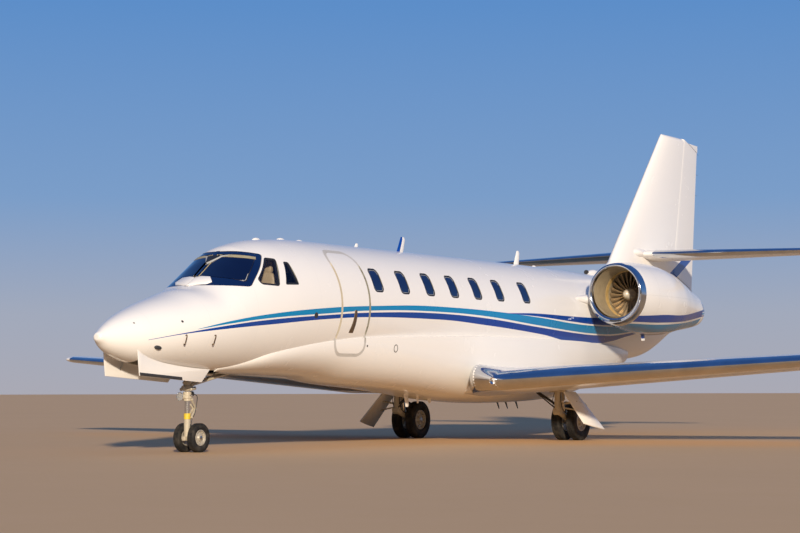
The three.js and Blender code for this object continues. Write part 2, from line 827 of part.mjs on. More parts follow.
function wingSolid() {
  const stations = [WING.rootX, WING_CUFF.end, WING_CUFF.fade, AILERON.inner, HALF_SPAN - WING_TIP.length];
  const tip = wingPlace(HALF_SPAN);
  const tipRing = sectionRing({
    chord: tip.chord * WING_TIP.chord,
    ratio: tip.ratio * WING_TIP.thickness,
    put: (along, up) => tip.put(tip.chord * WING_TIP.setBack + along, up),
  });
  return loft([...stations.map(wingRing), tipRing]);
}

const flapLine = hingeLine(wingPlace, FLAP.inner, FLAP.outer, () => FLAP.hinge);
const aileronLine = hingeLine(wingPlace, AILERON.inner, AILERON.outer, () => AILERON.hinge);
const elevatorLine = hingeLine(tailPlace, ELEVATOR.inner, ELEVATOR.outer, () => ELEVATOR.hinge);
const rudderLine = hingeLine(
  finPlace,
  RUDDER.bottom,
  FIN_TOP - RUDDER.topStep,
  (z, place) => (rudderHinge(z) - place.front) / place.chord,
);

function wing(side) {
  const pockets = hingePocket(flapLine).add(hingePocket(aileronLine));
  const shaped = wingSolid().subtract(pockets).subtract(bodyKeepOut()).subtract(fairingSolid(SEAT));
  const pads = hingePads(flapLine, [0.08, 0.5, 0.92]).add(hingePads(aileronLine, [0.12, 0.88]));
  const joined = largest(shaped).add(pads).add(wingBox(0));
  return onSide(largest(joined.subtract(gearBay())).add(jackPad(WING_JACK)), side);
}

function jackPad([x, station, foot]) {
  return rod([x, station, foot], [x, station, foot + JACK_PAD.height], JACK_PAD.radius, 16);
}

function largest(solid) {
  const pieces = solid.decompose();
  return pieces.reduce((best, piece) => (piece.volume() > best.volume() ? piece : best));
}

const GEAR_BAY = { inner: 1500, outer: 1960, front: 9560, rear: 9940, top: 900 };

function gearBay() {
  return box([GEAR_BAY.inner, GEAR_BAY.front, 300], [GEAR_BAY.outer, GEAR_BAY.rear, GEAR_BAY.top]);
}

function tailplaneSolid(outset) {
  const { halfSpan } = TAIL;
  const rings = [-halfSpan, TIP_CAP - halfSpan, 0, halfSpan - TIP_CAP, halfSpan].map((x) => {
    const place = tailPlace(x);
    const thinning = Math.abs(x) === halfSpan ? TIP_THINNING : 1;
    return sectionRing({ ...place, ratio: place.ratio * thinning }, outset);
  });
  return loft(rings);
}

// The tailplane is hollow, and its hollow opens downwards into the fin's
const TAIL_HOLLOW = { halfSpan: 3600, from: 0.08, to: 0.58, wall: 18 };
const TAIL_PORT = { half: 50, front: 16600, rear: 16900 };

function tailplaneHollow() {
  const { halfSpan, from, to, wall } = TAIL_HOLLOW;
  const { half, front, rear } = TAIL_PORT;
  const space = loft([-halfSpan, 0, halfSpan].map((x) => hollowRing(tailPlace(x), from, to, wall)));
  return space.add(box([-half, front, TAIL.height - BEYOND], [half, rear, TAIL.height]));
}

function tailplane() {
  const pocket = hingePocket(elevatorLine);
  const pads = hingePads(elevatorLine, [0.1, 0.9]);
  const hingeStation = tailPlace(0).front + TAIL.rootChord * ELEVATOR.hinge;
  const half = ELEVATOR.inner;
  const centreCut = box([-half, hingeStation, TAIL.height - BEYOND], [half, LENGTH, TAIL.height + BEYOND]);
  const solid = tailplaneSolid(0).subtract(tailplaneHollow());
  return solid.subtract(pocket).subtract(mirrored(pocket)).subtract(centreCut).add(pads).add(mirrored(pads));
}

// Below lowHeight the fin runs forward into a fillet along the crown
function filletPlace(z) {
  const root = finPlace(FIN.lowHeight);
  const chord = root.front + root.chord - FIN.filletFront;
  const put = (along, up) => [up, FIN.filletFront + along, z];
  return { chord, ratio: root.ratio * root.chord / chord, front: FIN.filletFront, height: z, put };
}

// The fin is hollow up to this height, and open below, inside the tail
const FIN_HOLLOW = { top: 5700, from: 0.06, beforeHinge: 0.09, wall: 25 };

function finHollow() {
  const { top, from, beforeHinge, wall } = FIN_HOLLOW;
  const ring = (place) => {
    const end = (rudderHinge(Math.max(place.height, FIN.lowHeight)) - place.front) / place.chord;
    return hollowRing(place, from, end - beforeHinge, wall);
  };
  return loft([
    ring(filletPlace(FIN.rootHeight - BEYOND)),
    ring(filletPlace(FIN.filletHeight)),
    ring(finPlace(FIN.lowHeight)),
    ring(finPlace(top)),
  ]);
}

function finSolid() {
  const filletRing = (z) => sectionRing(filletPlace(z));
  const levels = [FIN.lowHeight, FIN_TOP - TIP_CAP];
  const top = finPlace(FIN_TOP);
  const cap = sectionRing({ ...top, ratio: top.ratio * TIP_THINNING });
  const rings = levels.map((z) => sectionRing(finPlace(z)));
  return loft([filletRing(FIN.rootHeight), filletRing(FIN.filletHeight), ...rings, cap]);
}

function fin() {
  const pocket = hingePocket(rudderLine).add(rudderTopCut());
  const solid = finSolid().subtract(finHollow()).subtract(pocket).subtract(bodyKeepOut());
  return largest(solid.subtract(tailplaneSolid(SEAT))).add(hingePads(rudderLine, [0.06, 0.5, 0.94]));
}

// The fin's cap stops short of the rudder, which reaches nearly to the top
function rudderTopCut() {
  const hinge = rudderHinge(FIN_TOP);
  return box([-BEYOND, hinge, FIN_TOP - TIP_CAP], [BEYOND, hinge + FAR, FIN_TOP + BEYOND]);
}

// Engines

function nacelleRing(row, shrink, sides = 24) {
  const [aft, half, tall, height, x] = row;
  const ring = [];
  for (let k = 0; k < sides; k += 1) {
    const angle = (k / sides) * 2 * Math.PI;
    ring.push([
      x + (half - shrink) * Math.cos(angle),
      LIP_STATION + aft,
      height + (tall - shrink) * Math.sin(angle),
    ]);
  }
  return ring;
}

function nacelleOuter(from, to, outset) {
  const stations = stationsBetween(NACELLE, from, to);
  return loft(stations.map((station) => nacelleRing(rowAt(NACELLE, station), -outset)));
}

const DUCT_OVERRUN = 30;
// Columns: distance aft of the lip, duct radius, centre height, centre X
const DUCT = [
  [0, 492, 2605, 1540],
  [60, 458, 2618, 1540],
  [150, THROAT, 2626, 1540],
  [FAN_FACE - 60, FAN_RADIUS + RUNNING_GAP, 2600, 1540],
  [FAN_FACE + 200, FAN_RADIUS + RUNNING_GAP, 2600, 1540],
  [1200, 470, 2560, 1530],
  [2200, 450, 2485, 1480],
  [NACELLE_LENGTH, 338 - NOZZLE_WALL, 2415, 1400],
];

// The duct, run straight on past both ends so that it cuts clean openings
function ductSolid(from, to, shrink = 0) {
  const rings = stationsBetween(DUCT, from, to).map((station) => ductRow(rowAt(DUCT, station)));
  const front = rings[0].with(0, from - DUCT_OVERRUN);
  const rear = rings.at(-1).with(0, to + DUCT_OVERRUN);
  return loft([front, ...rings, rear].map((row) => nacelleRing(row, shrink)));
}

// A row of the duct's table in the form of one of the cowl's
function ductRow([aft, radius, height, x]) {
  return [aft, radius, radius, height, x];
}

function inletLip(side) {
  const outer = nacelleOuter(0, LIP_END - SEAT, 0);
  return onSide(outer.subtract(ductSolid(0, LIP_END)), side);
}

function nacelle(side) {
  const outer = nacelleOuter(LIP_END, NACELLE_LENGTH, 0);
  return onSide(outer.subtract(ductSolid(LIP_END, NACELLE_LENGTH)), side);
}

const FAN_CENTRE = [1540, LIP_STATION + FAN_FACE, 2600];
// Spinner and hub. Columns: radius, distance aft of the fan's face.
const FAN_HUB = [
  [0, -250],
  [60, -225],
  [110, -150],
  [140, -60],
  [150, 0],
  [150, 110],
  [60, 120],
  [60, FAN_HUB_END],
  [0, FAN_HUB_END],
];
// Blade sections, at the root and at the tip
const BLADE_ROOT = { radius: 120, chord: 95, twist: 0.45, thickness: 12 };
const BLADE_TIP = { radius: FAN_RADIUS - 6, chord: 120, twist: 1.05, thickness: 6 };
const BLADE_SET_BACK = 50;

function fan(side) {
  let solid = turned(FAN_HUB, 'y', FAN_CENTRE, 20);
  for (let k = 0; k < FAN_BLADES; k += 1) {
    solid = solid.add(fanBlade((k / FAN_BLADES) * 2 * Math.PI));
  }
  return onSide(solid, side);
}

function fanBlade(turn) {
  const [cx, cy, cz] = FAN_CENTRE;
  const ring = ({ radius, chord, twist, thickness }) => {
    const corners = [[-chord / 2, -thickness / 2], [chord / 2, -thickness / 2],
      [chord / 2, thickness / 2], [-chord / 2, thickness / 2]];
    return corners.map(([along, across]) => {
      const axial = along * Math.cos(twist) - across * Math.sin(twist);
      const sideways = along * Math.sin(twist) + across * Math.cos(twist);
      const x = radius * Math.cos(turn) - sideways * Math.sin(turn);
      const z = radius * Math.sin(turn) + sideways * Math.cos(turn);
      return [cx + x, cy + BLADE_SET_BACK + axial, cz + z];
    });
  };
  return loft([ring(BLADE_ROOT), ring(BLADE_TIP)]);
}

const CORE_START = FAN_HUB_END + SEAT;
// The engine behind the fan. Columns: radius, distance aft of the fan's face.
const CORE = [
  [0, CORE_START],
  [150, CORE_START],
  [250, 420],
  [300, 700],
  [300, 1500],
  [240, 1750],
  [150, 2100],
  [0, 2450],
];
// The core follows the duct inboard and down, in mm for each mm aft
const CORE_LEAN = { sideways: -0.05, down: -0.062 };
const STRUT = { aft: 600, drop: 35, radius: 22, count: 4 };

function engineCore(side) {
  const [cx, cy, cz] = FAN_CENTRE;
  let solid = turned(CORE, 'y', FAN_CENTRE, 20).transform(shearTo(cy, CORE_LEAN.sideways, CORE_LEAN.down));
  const middle = [cx, cy + STRUT.aft, cz - STRUT.drop];
  for (let k = 0; k < STRUT.count; k += 1) {
    const turn = ((k + 0.5) / STRUT.count) * 2 * Math.PI;
    const end = [middle[0] + FAR * Math.cos(turn), middle[1], middle[2] + FAR * Math.sin(turn)];
    solid = solid.add(rod(middle, end, STRUT.radius, 8));
  }
  const inside = ductSolid(FAN_FACE, NACELLE_LENGTH - DUCT_OVERRUN * 2, SEAT);
  return onSide(solid.intersect(inside), side);
}

// Leans a body sideways and down along the station axis, about one station
function shearTo(station, sideways, down) {
  return [1, 0, 0, 0, sideways, 1, down, 0, 0, 0, 1, 0, -sideways * station, 0, -down * station, 1];
}

// Pylon sections. Columns: X, station of the leading edge, station of the trailing edge.
const PYLON = [
  [500, 11700, 15350],
  [900, 11750, 15330],
  [1000, 12250, 15300],
  [1500, 12500, 15250],
];
const PYLON_THICKNESS = 218;
const PYLON_HEIGHT = 2500;

function pylon(side) {
  const sections = PYLON.map(([x, front, rear]) => sectionRing({
    chord: rear - front,
    ratio: PYLON_THICKNESS / (rear - front),
    put: (along, up) => [x, front + along, PYLON_HEIGHT + up],
  }));
  const solid = loft(sections).subtract(bodyKeepOut()).subtract(nacelleOuter(0, NACELLE_LENGTH, SEAT));
  return onSide(largest(solid), side);
}

// Cabin inside

const FLOOR_TOP = 1660;

const FLOOR_THICKNESS = 45;

function cabinFloor() {
  const end = AFT_BULKHEAD - BULKHEAD_THICKNESS;
  const inside = bodySolid(WELL_BULKHEAD, end, WALL + SEAT);
  const slab = box([-FAR, WELL_BULKHEAD + 60, FLOOR_TOP - FLOOR_THICKNESS], [FAR, end - 20, FLOOR_TOP]);
  const sill = box([DOOR_SILL_X, DOOR.front - 20, 0], [FAR, DOOR.rear + 20, FIN_TOP]);
  return inside.intersect(slab).subtract(sill);
}

// Half widths and limits of the cockpit's panel, its glareshield and the pedestal between the pilots
const PANEL = { half: 700, front: 1560, rear: 1980, top: 2230 };
const GLARESHIELD = { half: 640, rear: 2080, bottom: 2200, top: 2262 };
const PEDESTAL = { half: 140, front: 1900, rear: 2520, top: 1980 };

function onFloor({ half, front, rear, top }) {
  return box([-half, front, FLOOR_TOP], [half, rear, top]);
}

function instrumentPanel() {
  const inside = bodySolid(NOSE_BULKHEAD, WELL_BULKHEAD, WALL + SEAT);
  const glareshield = box(
    [-GLARESHIELD.half, PANEL.front, GLARESHIELD.bottom],
    [GLARESHIELD.half, GLARESHIELD.rear, GLARESHIELD.top],
  );
  return onFloor(PANEL).add(glareshield).intersect(inside).add(onFloor(PEDESTAL));
}

// Seats on one side. Columns: middle station, middle X, 1 facing forward or -1 facing aft.
const SEATS = [
  [2950, 380, 1],
  [5750, 560, -1],
  [6900, 560, 1],
  [8150, 560, -1],
  [9300, 560, 1],
];

// A seat's parts. Columns: half width, front, rear, bottom, top, from the seat's middle and the floor.
const SEAT_PARTS = [
  [230, -250, 250, 280, 420],
  [220, 150, 270, 280, 900],
  [130, 170, 260, 880, 1080],
  [110, -160, 160, 0, 300],
];
const SEAT_RAIL = { inner: 440, outer: 480, front: 2700, rear: 9600, height: 20 };

function seat(station, x, facing) {
  const floor = FLOOR_TOP + SEAT;
  const parts = SEAT_PARTS.map(([half, front, rear, bottom, top]) => {
    const ends = [station + front * facing, station + rear * facing];
    return box([x - half, Math.min(...ends), floor + bottom], [x + half, Math.max(...ends), floor + top]);
  });
  return parts.reduce((sum, part) => sum.add(part));
}

function seats(side) {
  const { inner, outer, front, rear, height } = SEAT_RAIL;
  const rail = box([inner, front, FLOOR_TOP + SEAT], [outer, rear, FLOOR_TOP + height]);
  return onSide(SEATS.reduce((sum, [station, x, facing]) => sum.add(seat(station, x, facing)), rail), side);
}

// Landing gear

const WHEEL_SIDES = 20;

function tyre({ radius, width, hub }, centre) {
  const half = width / 2;
  const bead = hub + SEAT;
  const profile = [
    [bead, -half * 0.72],
    [radius * 0.74, -half],
    [radius * 0.9, -half * 0.9],
    [radius, -half * 0.45],
    [radius, half * 0.45],
    [radius * 0.9, half * 0.9],
    [radius * 0.74, half],
    [bead, half * 0.72],
    [bead, -half * 0.72],
  ];
  return turned(profile, 'x', centre, WHEEL_SIDES);
}

function wheelPair({ offset, width, hub, radius }, centre, axle) {
  const rim = (side) => {
    const half = width * 0.36;
    const profile = [
      [0, -half * 0.5],
      [hub * 0.82, -half * 0.5],
      [hub * 0.9, -half],
      [hub, -half],
      [hub, half],
      [hub * 0.9, half],
      [hub * 0.78, half * 0.4],
      [hub * 0.4, half * 0.85],
      [0, half * 0.85],
    ];
    const outward = side > 0 ? profile : profile.map(([r, a]) => [r, -a]).toReversed();
    return turned(outward, 'x', [centre[0] + side * offset, centre[1], centre[2]], WHEEL_SIDES);
  };
  const [x, y, z] = centre;
  const shaft = rod([x - offset, y, z], [x + offset, y, z], axle, 12);
  return rim(1).add(rim(-1)).add(shaft);
}

const NOSE_AXLE = 24;
const MAIN_AXLE = 36;
const PISTON = 38;

// The bore that lets a faceted axle turn freely
function boreFor(radius, sides) {
  return (radius + SEAT) / Math.cos(Math.PI / sides);
}

// A round bar along X, from -reach to reach about a middle
function crossBar([x, y, z], reach, radius, sides) {
  return rod([x - reach, y, z], [x + reach, y, z], radius, sides);
}

// Nose leg heights: foot of the cylinder, trunnion that it folds about, and the brace's upper joint
const NOSE_LEG = { radius: 58, foot: 850, trunnion: 1450, braceTop: 935, socketTop: 1010 };
const TRUNNION_RADIUS = 34;
const DRAG_BRACE = { foot: [0, 2900, 1132], radius: 22, barRadius: 18 };

function noseLeg() {
  const y = NOSE_LEG_STATION;
  const { radius, foot, trunnion, braceTop, socketTop } = NOSE_LEG;
  const cylinder = rod([0, y, foot], [0, y, NOSE_WELL.top - SEAT], radius, 20);
  const pivot = crossBar([0, y, trunnion], NOSE_WELL.half - SEAT, TRUNNION_RADIUS, 12);
  const brace = rod([0, y, braceTop], DRAG_BRACE.foot, DRAG_BRACE.radius, 10);
  const braceBar = crossBar(DRAG_BRACE.foot, BRACE_SLOT.half - SEAT, DRAG_BRACE.barRadius, 10);
  const socket = rod([0, y, foot - PISTON], [0, y, socketTop], boreFor(PISTON, 20), 20);
  return cylinder.add(pivot).add(brace).add(braceBar).subtract(socket);
}

// Steered part of the nose leg: heights, reaches ahead or aft of the leg's line, and radii
const STEERED = {
  collarBottom: 715,
  collarRadius: 60,
  pistonBottom: 190,
  pistonTop: 990,
  forkTop: 545,
  forkRadius: 48,
  kneeRadius: 44,
  bossHalf: 52,
  bossRadius: 46,
  linkTop: [0, 40, 745],
  linkElbow: [0, 165, 610],
  linkFoot: [0, 40, 490],
  linkRadius: 16,
};
const TAXI_LAMP = { height: 775, reach: 175, depth: 70, faceRadius: 62, backRadius: 40 };
const TOW_LUG = { half: 30, reach: 80, bottom: 165, top: 225 };

function noseSteering() {
  const y = NOSE_LEG_STATION;
  const part = STEERED;
  const axle = [0, NOSE_WHEEL.station, NOSE_WHEEL.radius];
  const onLeg = ([x, along, z]) => [x, y + along, z];
  const collar = rod([0, y, part.collarBottom], [0, y, NOSE_LEG.foot - RUNNING_GAP], part.collarRadius, 20);
  const piston = rod([0, y, part.pistonBottom], [0, y, part.pistonTop], PISTON, 16);
  const fork = rod([0, y, part.pistonBottom], [0, y, part.forkTop], part.forkRadius, 16);
  const knee = rod([0, y, NOSE_WHEEL.radius], axle, part.kneeRadius, 14);
  const boss = crossBar(axle, part.bossHalf, part.bossRadius, 16);
  const upperLink = rod(onLeg(part.linkTop), onLeg(part.linkElbow), part.linkRadius, 8);
  const lowerLink = rod(onLeg(part.linkElbow), onLeg(part.linkFoot), part.linkRadius, 8);
  const { height, reach, depth, faceRadius, backRadius } = TAXI_LAMP;
  const lampArm = rod([0, y, height], [0, y - reach + depth / 2, height], part.linkRadius, 8);
  const lamp = rod([0, y - reach, height], [0, y - reach + depth, height], faceRadius, 16, backRadius);
  const towLug = box([-TOW_LUG.half, y - TOW_LUG.reach, TOW_LUG.bottom], [TOW_LUG.half, y, TOW_LUG.top]);
  const axleBore = crossBar(axle, NOSE_WHEEL.radius, boreFor(NOSE_AXLE, 16), 16);
  const parts = [piston, fork, knee, boss, upperLink, lowerLink, lampArm, lamp, towLug];
  return parts.reduce((sum, piece) => sum.add(piece), collar).subtract(axleBore);
}

// Nose gear door: corners as [distance outside the well's side, station, height]
const NOSE_DOOR = [
  [38, 475, 1430],
  [38, 510, 1100],
  [38, 1830, 985],
  [38, 2000, 1185],
  [38, 1560, 1230],
  [38, 1000, 1320],
];
const NOSE_DOOR_THICKNESS = 22;

function noseDoor(side) {
  const inner = NOSE_DOOR.map(([out, y, z]) => [NOSE_WELL.half + out, y, z]);
  const outer = inner.map(([x, y, z]) => [x + NOSE_DOOR_THICKNESS, y, z]);
  return onSide(loft([inner, outer]).subtract(bodyKeepOut()), side);
}

// Places on the main leg, as [distance outboard of its line, station, height], and radii of its parts
const MAIN_LEG = {
  head: [0, 9740, 870],
  knuckle: [0, 9730, 500],
  shockTop: [0, 9800, 870],
  shockFoot: [0, 9900, 420],
  braceFoot: [0, 9730, 640],
  braceTop: [-65, 9680, 870],
  rodInner: [0, 9740, 620],
  rodOuter: [400, 9740, 640],
  postRadius: 62,
  knuckleHalf: 70,
  knuckleRadius: 66,
  armRadius: 50,
  shockRadius: 38,
  bossHalf: 52,
  braceRadius: 22,
  rodRadius: 18,
};
const GEAR_HEAD_HEIGHT = 60;

function mainLeg(side) {
  const part = MAIN_LEG;
  const at = ([out, y, z]) => [MAIN_GEAR_X + out, y, z];
  const axle = [MAIN_GEAR_X, MAIN_WHEEL.station, MAIN_WHEEL.radius];
  const head = box(
    [GEAR_BAY.inner + SEAT, GEAR_BAY.front + SEAT, GEAR_BAY.top - GEAR_HEAD_HEIGHT],
    [GEAR_BAY.outer - SEAT, GEAR_BAY.rear - SEAT, GEAR_BAY.top - SEAT],
  );
  const parts = [
    rod(at(part.head), at(part.knuckle), part.postRadius, 16),
    crossBar(at(part.knuckle), part.knuckleHalf, part.knuckleRadius, 16),
    rod(at(part.knuckle), axle, part.armRadius, 12),
    rod(at(part.shockFoot), at(part.shockTop), part.shockRadius, 12),
    crossBar(axle, part.bossHalf, part.knuckleRadius, 16),
    rod(at(part.braceFoot), at(part.braceTop), part.braceRadius, 10),
    rod(at(part.rodInner), at(part.rodOuter), part.rodRadius, 8),
  ];
  const bore = crossBar(axle, MAIN_WHEEL.radius, boreFor(MAIN_AXLE, 16), 16);
  const leg = parts.reduce((sum, piece) => sum.add(piece), head).subtract(bore);
  return onSide(leg.subtract(doorSpace()), side);
}

// Main gear door: station and height of its corners. It splays outboard as it hangs down.
const MAIN_DOOR = [[9600, 830], [9930, 830], [9985, 310], [9985, 200], [9470, 310]];
const MAIN_DOOR_TOP_X = 1830;
const MAIN_DOOR_SPLAY = 0.827;
const MAIN_DOOR_THICKNESS = 28;

function mainDoorSlab(fromShift, toShift) {
  return loft([fromShift, toShift].map((shift) => MAIN_DOOR.map(([y, z]) => {
    const x = MAIN_DOOR_TOP_X + (MAIN_DOOR[0][1] - z) * MAIN_DOOR_SPLAY;
    return [x + shift, y, z];
  })));
}

function doorSpace() {
  return mainDoorSlab(-SEAT * 2, FAR);
}

function mainDoor(side) {
  return onSide(mainDoorSlab(0, MAIN_DOOR_THICKNESS), side);
}

// The aircraft

const aircraft = new THREE.Group();
aircraft.position.y = -LENGTH / 2;

function place(name, solid, finish) {
  const [color, roughness, metalness] = FINISH[finish];
  const mesh = new THREE.Mesh(
    geometryOf(solid),
    new THREE.MeshStandardMaterial({ color, roughness, metalness }),
  );
  mesh.name = name;
  aircraft.add(mesh);
}

function placeBody() {
  place('nose_shell', noseShell(), 'paint');
  place('cabin_shell', cabinShell(), 'paint');
  place('tail_shell', tailShell(), 'paint');
  place('belly_fairing', bellyFairing(), 'paint');
  place('cabin_door', cabinDoor(), 'paint');
  place('cabin_floor', cabinFloor(), 'trim');
  place('instrument_panel', instrumentPanel(), 'dark');
  place('fin', fin(), 'paint');
  place('rudder', hingedSurface(rudderLine), 'paint');
  place('tailplane', tailplane(), 'paint');
}

function placeSides() {
  for (const [name, side] of SIDES) {
    place(`windshield_${name}`, windshield(side), 'glass');
    place(`cockpit_glass_${name}`, cockpitSideGlass(side), 'glass');
    place(`cabin_windows_${name}`, cabinWindows(side), 'glass');
    place(`seats_${name}`, seats(side), 'trim');
    place(`wing_${name}`, wing(side), 'paint');
    place(`flap_${name}`, onSide(hingedSurface(flapLine), side), 'paint');
    place(`aileron_${name}`, onSide(hingedSurface(aileronLine), side), 'paint');
    place(`elevator_${name}`, onSide(hingedSurface(elevatorLine), side), 'paint');
    place(`inlet_lip_${name}`, inletLip(side), 'bright');
    place(`nacelle_${name}`, nacelle(side), 'paint');
    place(`fan_${name}`, fan(side), 'engine');
    place(`engine_core_${name}`, engineCore(side), 'engine');
    place(`pylon_${name}`, pylon(side), 'paint');
  }
}

function placeGear() {
  place('nose_leg', noseLeg(), 'leg');
  place('nose_steering', noseSteering(), 'leg');
  const noseAxle = [0, NOSE_WHEEL.station, NOSE_WHEEL.radius];
  place('nose_hubs', wheelPair(NOSE_WHEEL, noseAxle, NOSE_AXLE), 'wheel');
  for (const [name, side] of SIDES) {
    const x = side * NOSE_WHEEL.offset;
    place(`nose_tyre_${name}`, tyre(NOSE_WHEEL, [x, noseAxle[1], noseAxle[2]]), 'tyre');
    place(`nose_door_${name}`, noseDoor(side), 'paint');
    place(`main_leg_${name}`, mainLeg(side), 'leg');
    place(`main_door_${name}`, mainDoor(side), 'paint');
    const axle = [side * MAIN_GEAR_X, MAIN_WHEEL.station, MAIN_WHEEL.radius];
    place(`main_hubs_${name}`, wheelPair(MAIN_WHEEL, axle, MAIN_AXLE), 'wheel');
    for (const [ending, shift] of [['inner', -side], ['outer', side]]) {
      const centre = [axle[0] + shift * MAIN_WHEEL.offset, axle[1], axle[2]];
      place(`main_tyre_${name}_${ending}`, tyre(MAIN_WHEEL, centre), 'tyre');
    }
  }
}

placeBody();
placeSides();
placeGear();

export default aircraft;
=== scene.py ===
import math

import bmesh
import bpy
import numpy as np
from mathutils import Matrix, Vector


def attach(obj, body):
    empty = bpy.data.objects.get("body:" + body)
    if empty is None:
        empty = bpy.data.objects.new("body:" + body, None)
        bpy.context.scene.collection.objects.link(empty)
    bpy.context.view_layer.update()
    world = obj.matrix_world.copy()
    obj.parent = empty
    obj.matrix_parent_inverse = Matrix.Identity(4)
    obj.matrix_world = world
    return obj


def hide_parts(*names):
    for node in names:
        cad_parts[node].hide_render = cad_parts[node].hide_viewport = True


# Twin-engined business jet on its landing gear.
# Metres. +X is the port side, the nose points to -Y, +Z is up.
# Tables give stations, which run aft from the nose tip; the origin lies under station MIDDLE.

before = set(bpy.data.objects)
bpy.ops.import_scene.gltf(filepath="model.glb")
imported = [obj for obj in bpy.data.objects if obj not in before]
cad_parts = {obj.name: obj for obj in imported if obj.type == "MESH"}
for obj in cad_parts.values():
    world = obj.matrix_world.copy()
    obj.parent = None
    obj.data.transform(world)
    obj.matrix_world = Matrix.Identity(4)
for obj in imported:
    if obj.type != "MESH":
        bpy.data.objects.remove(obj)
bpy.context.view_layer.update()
scene = bpy.context.scene

MIDDLE = 9.675
LENGTH = 19.35
HALF_SPAN = 9.65
FIN_TOP = 6.2
AIRFRAME = "airframe"
ACROSS, AFT = (1, 0, 0), (0, 1, 0)
SIDES = (("left", 1), ("right", -1))


# Camera, at the place that the photograph was taken from

def photo_camera():
    yaw, pitch, roll = (math.radians(a) for a in (33.015, 3.712, -0.109))
    look = Vector((-math.sin(yaw) * math.cos(pitch), math.cos(yaw) * math.cos(pitch), math.sin(pitch)))
    right = Vector((math.cos(yaw), math.sin(yaw), 0))
    up = right.cross(look)
    level = right * math.cos(roll) + up * math.sin(roll)
    upright = up * math.cos(roll) - right * math.sin(roll)
    data = bpy.data.cameras.new("camera")
    data.sensor_width = 36
    data.lens = 85.62
    data.clip_end = 2000
    camera = bpy.data.objects.new("camera", data)
    turn = Matrix((level, upright, -look)).transposed().to_4x4()
    camera.matrix_world = Matrix.Translation((16.98, -28.475, 0.863)) @ turn
    scene.collection.objects.link(camera)
    scene.camera = camera


photo_camera()


# Curves through tables

def smooth_columns(table, key=lambda s: s):
    """Gives a function of station for each column of a table, smooth and never past its rows."""
    rows = np.array(table, float)
    x, y = key(rows[:, 0]), rows[:, 1:]
    slope = np.diff(y, axis=0) / np.diff(x)[:, None]
    product, total = slope[:-1] * slope[1:], slope[:-1] + slope[1:]
    same = product > 0
    lean = np.zeros_like(y)
    lean[1:-1] = np.where(same, 2 * np.where(same, product, 1) / np.where(same, total, 1), 0)
    lean[0], lean[-1] = slope[0], slope[-1]

    def value(station):
        u = key(np.asarray(station, float))
        k = np.clip(np.searchsorted(x, u) - 1, 0, len(x) - 2)
        h = (x[k + 1] - x[k])[..., None]
        t = np.clip((u - x[k]) / (x[k + 1] - x[k]), 0, 1)[..., None]
        return ((1 + 2 * t) * (1 - t) ** 2 * y[k] + t * (1 - t) ** 2 * h * lean[k]
                + t * t * (3 - 2 * t) * y[k + 1] + t * t * (t - 1) * h * lean[k + 1]).tolist()

    return value


# Shapes

HOSE_STEPS = 6


def turns(count, phase=0.0):
    """The cosine and sine at equal steps round a full turn."""
    angles = [2 * math.pi * (k + phase) / count for k in range(count)]
    return [(math.cos(a), math.sin(a)) for a in angles]


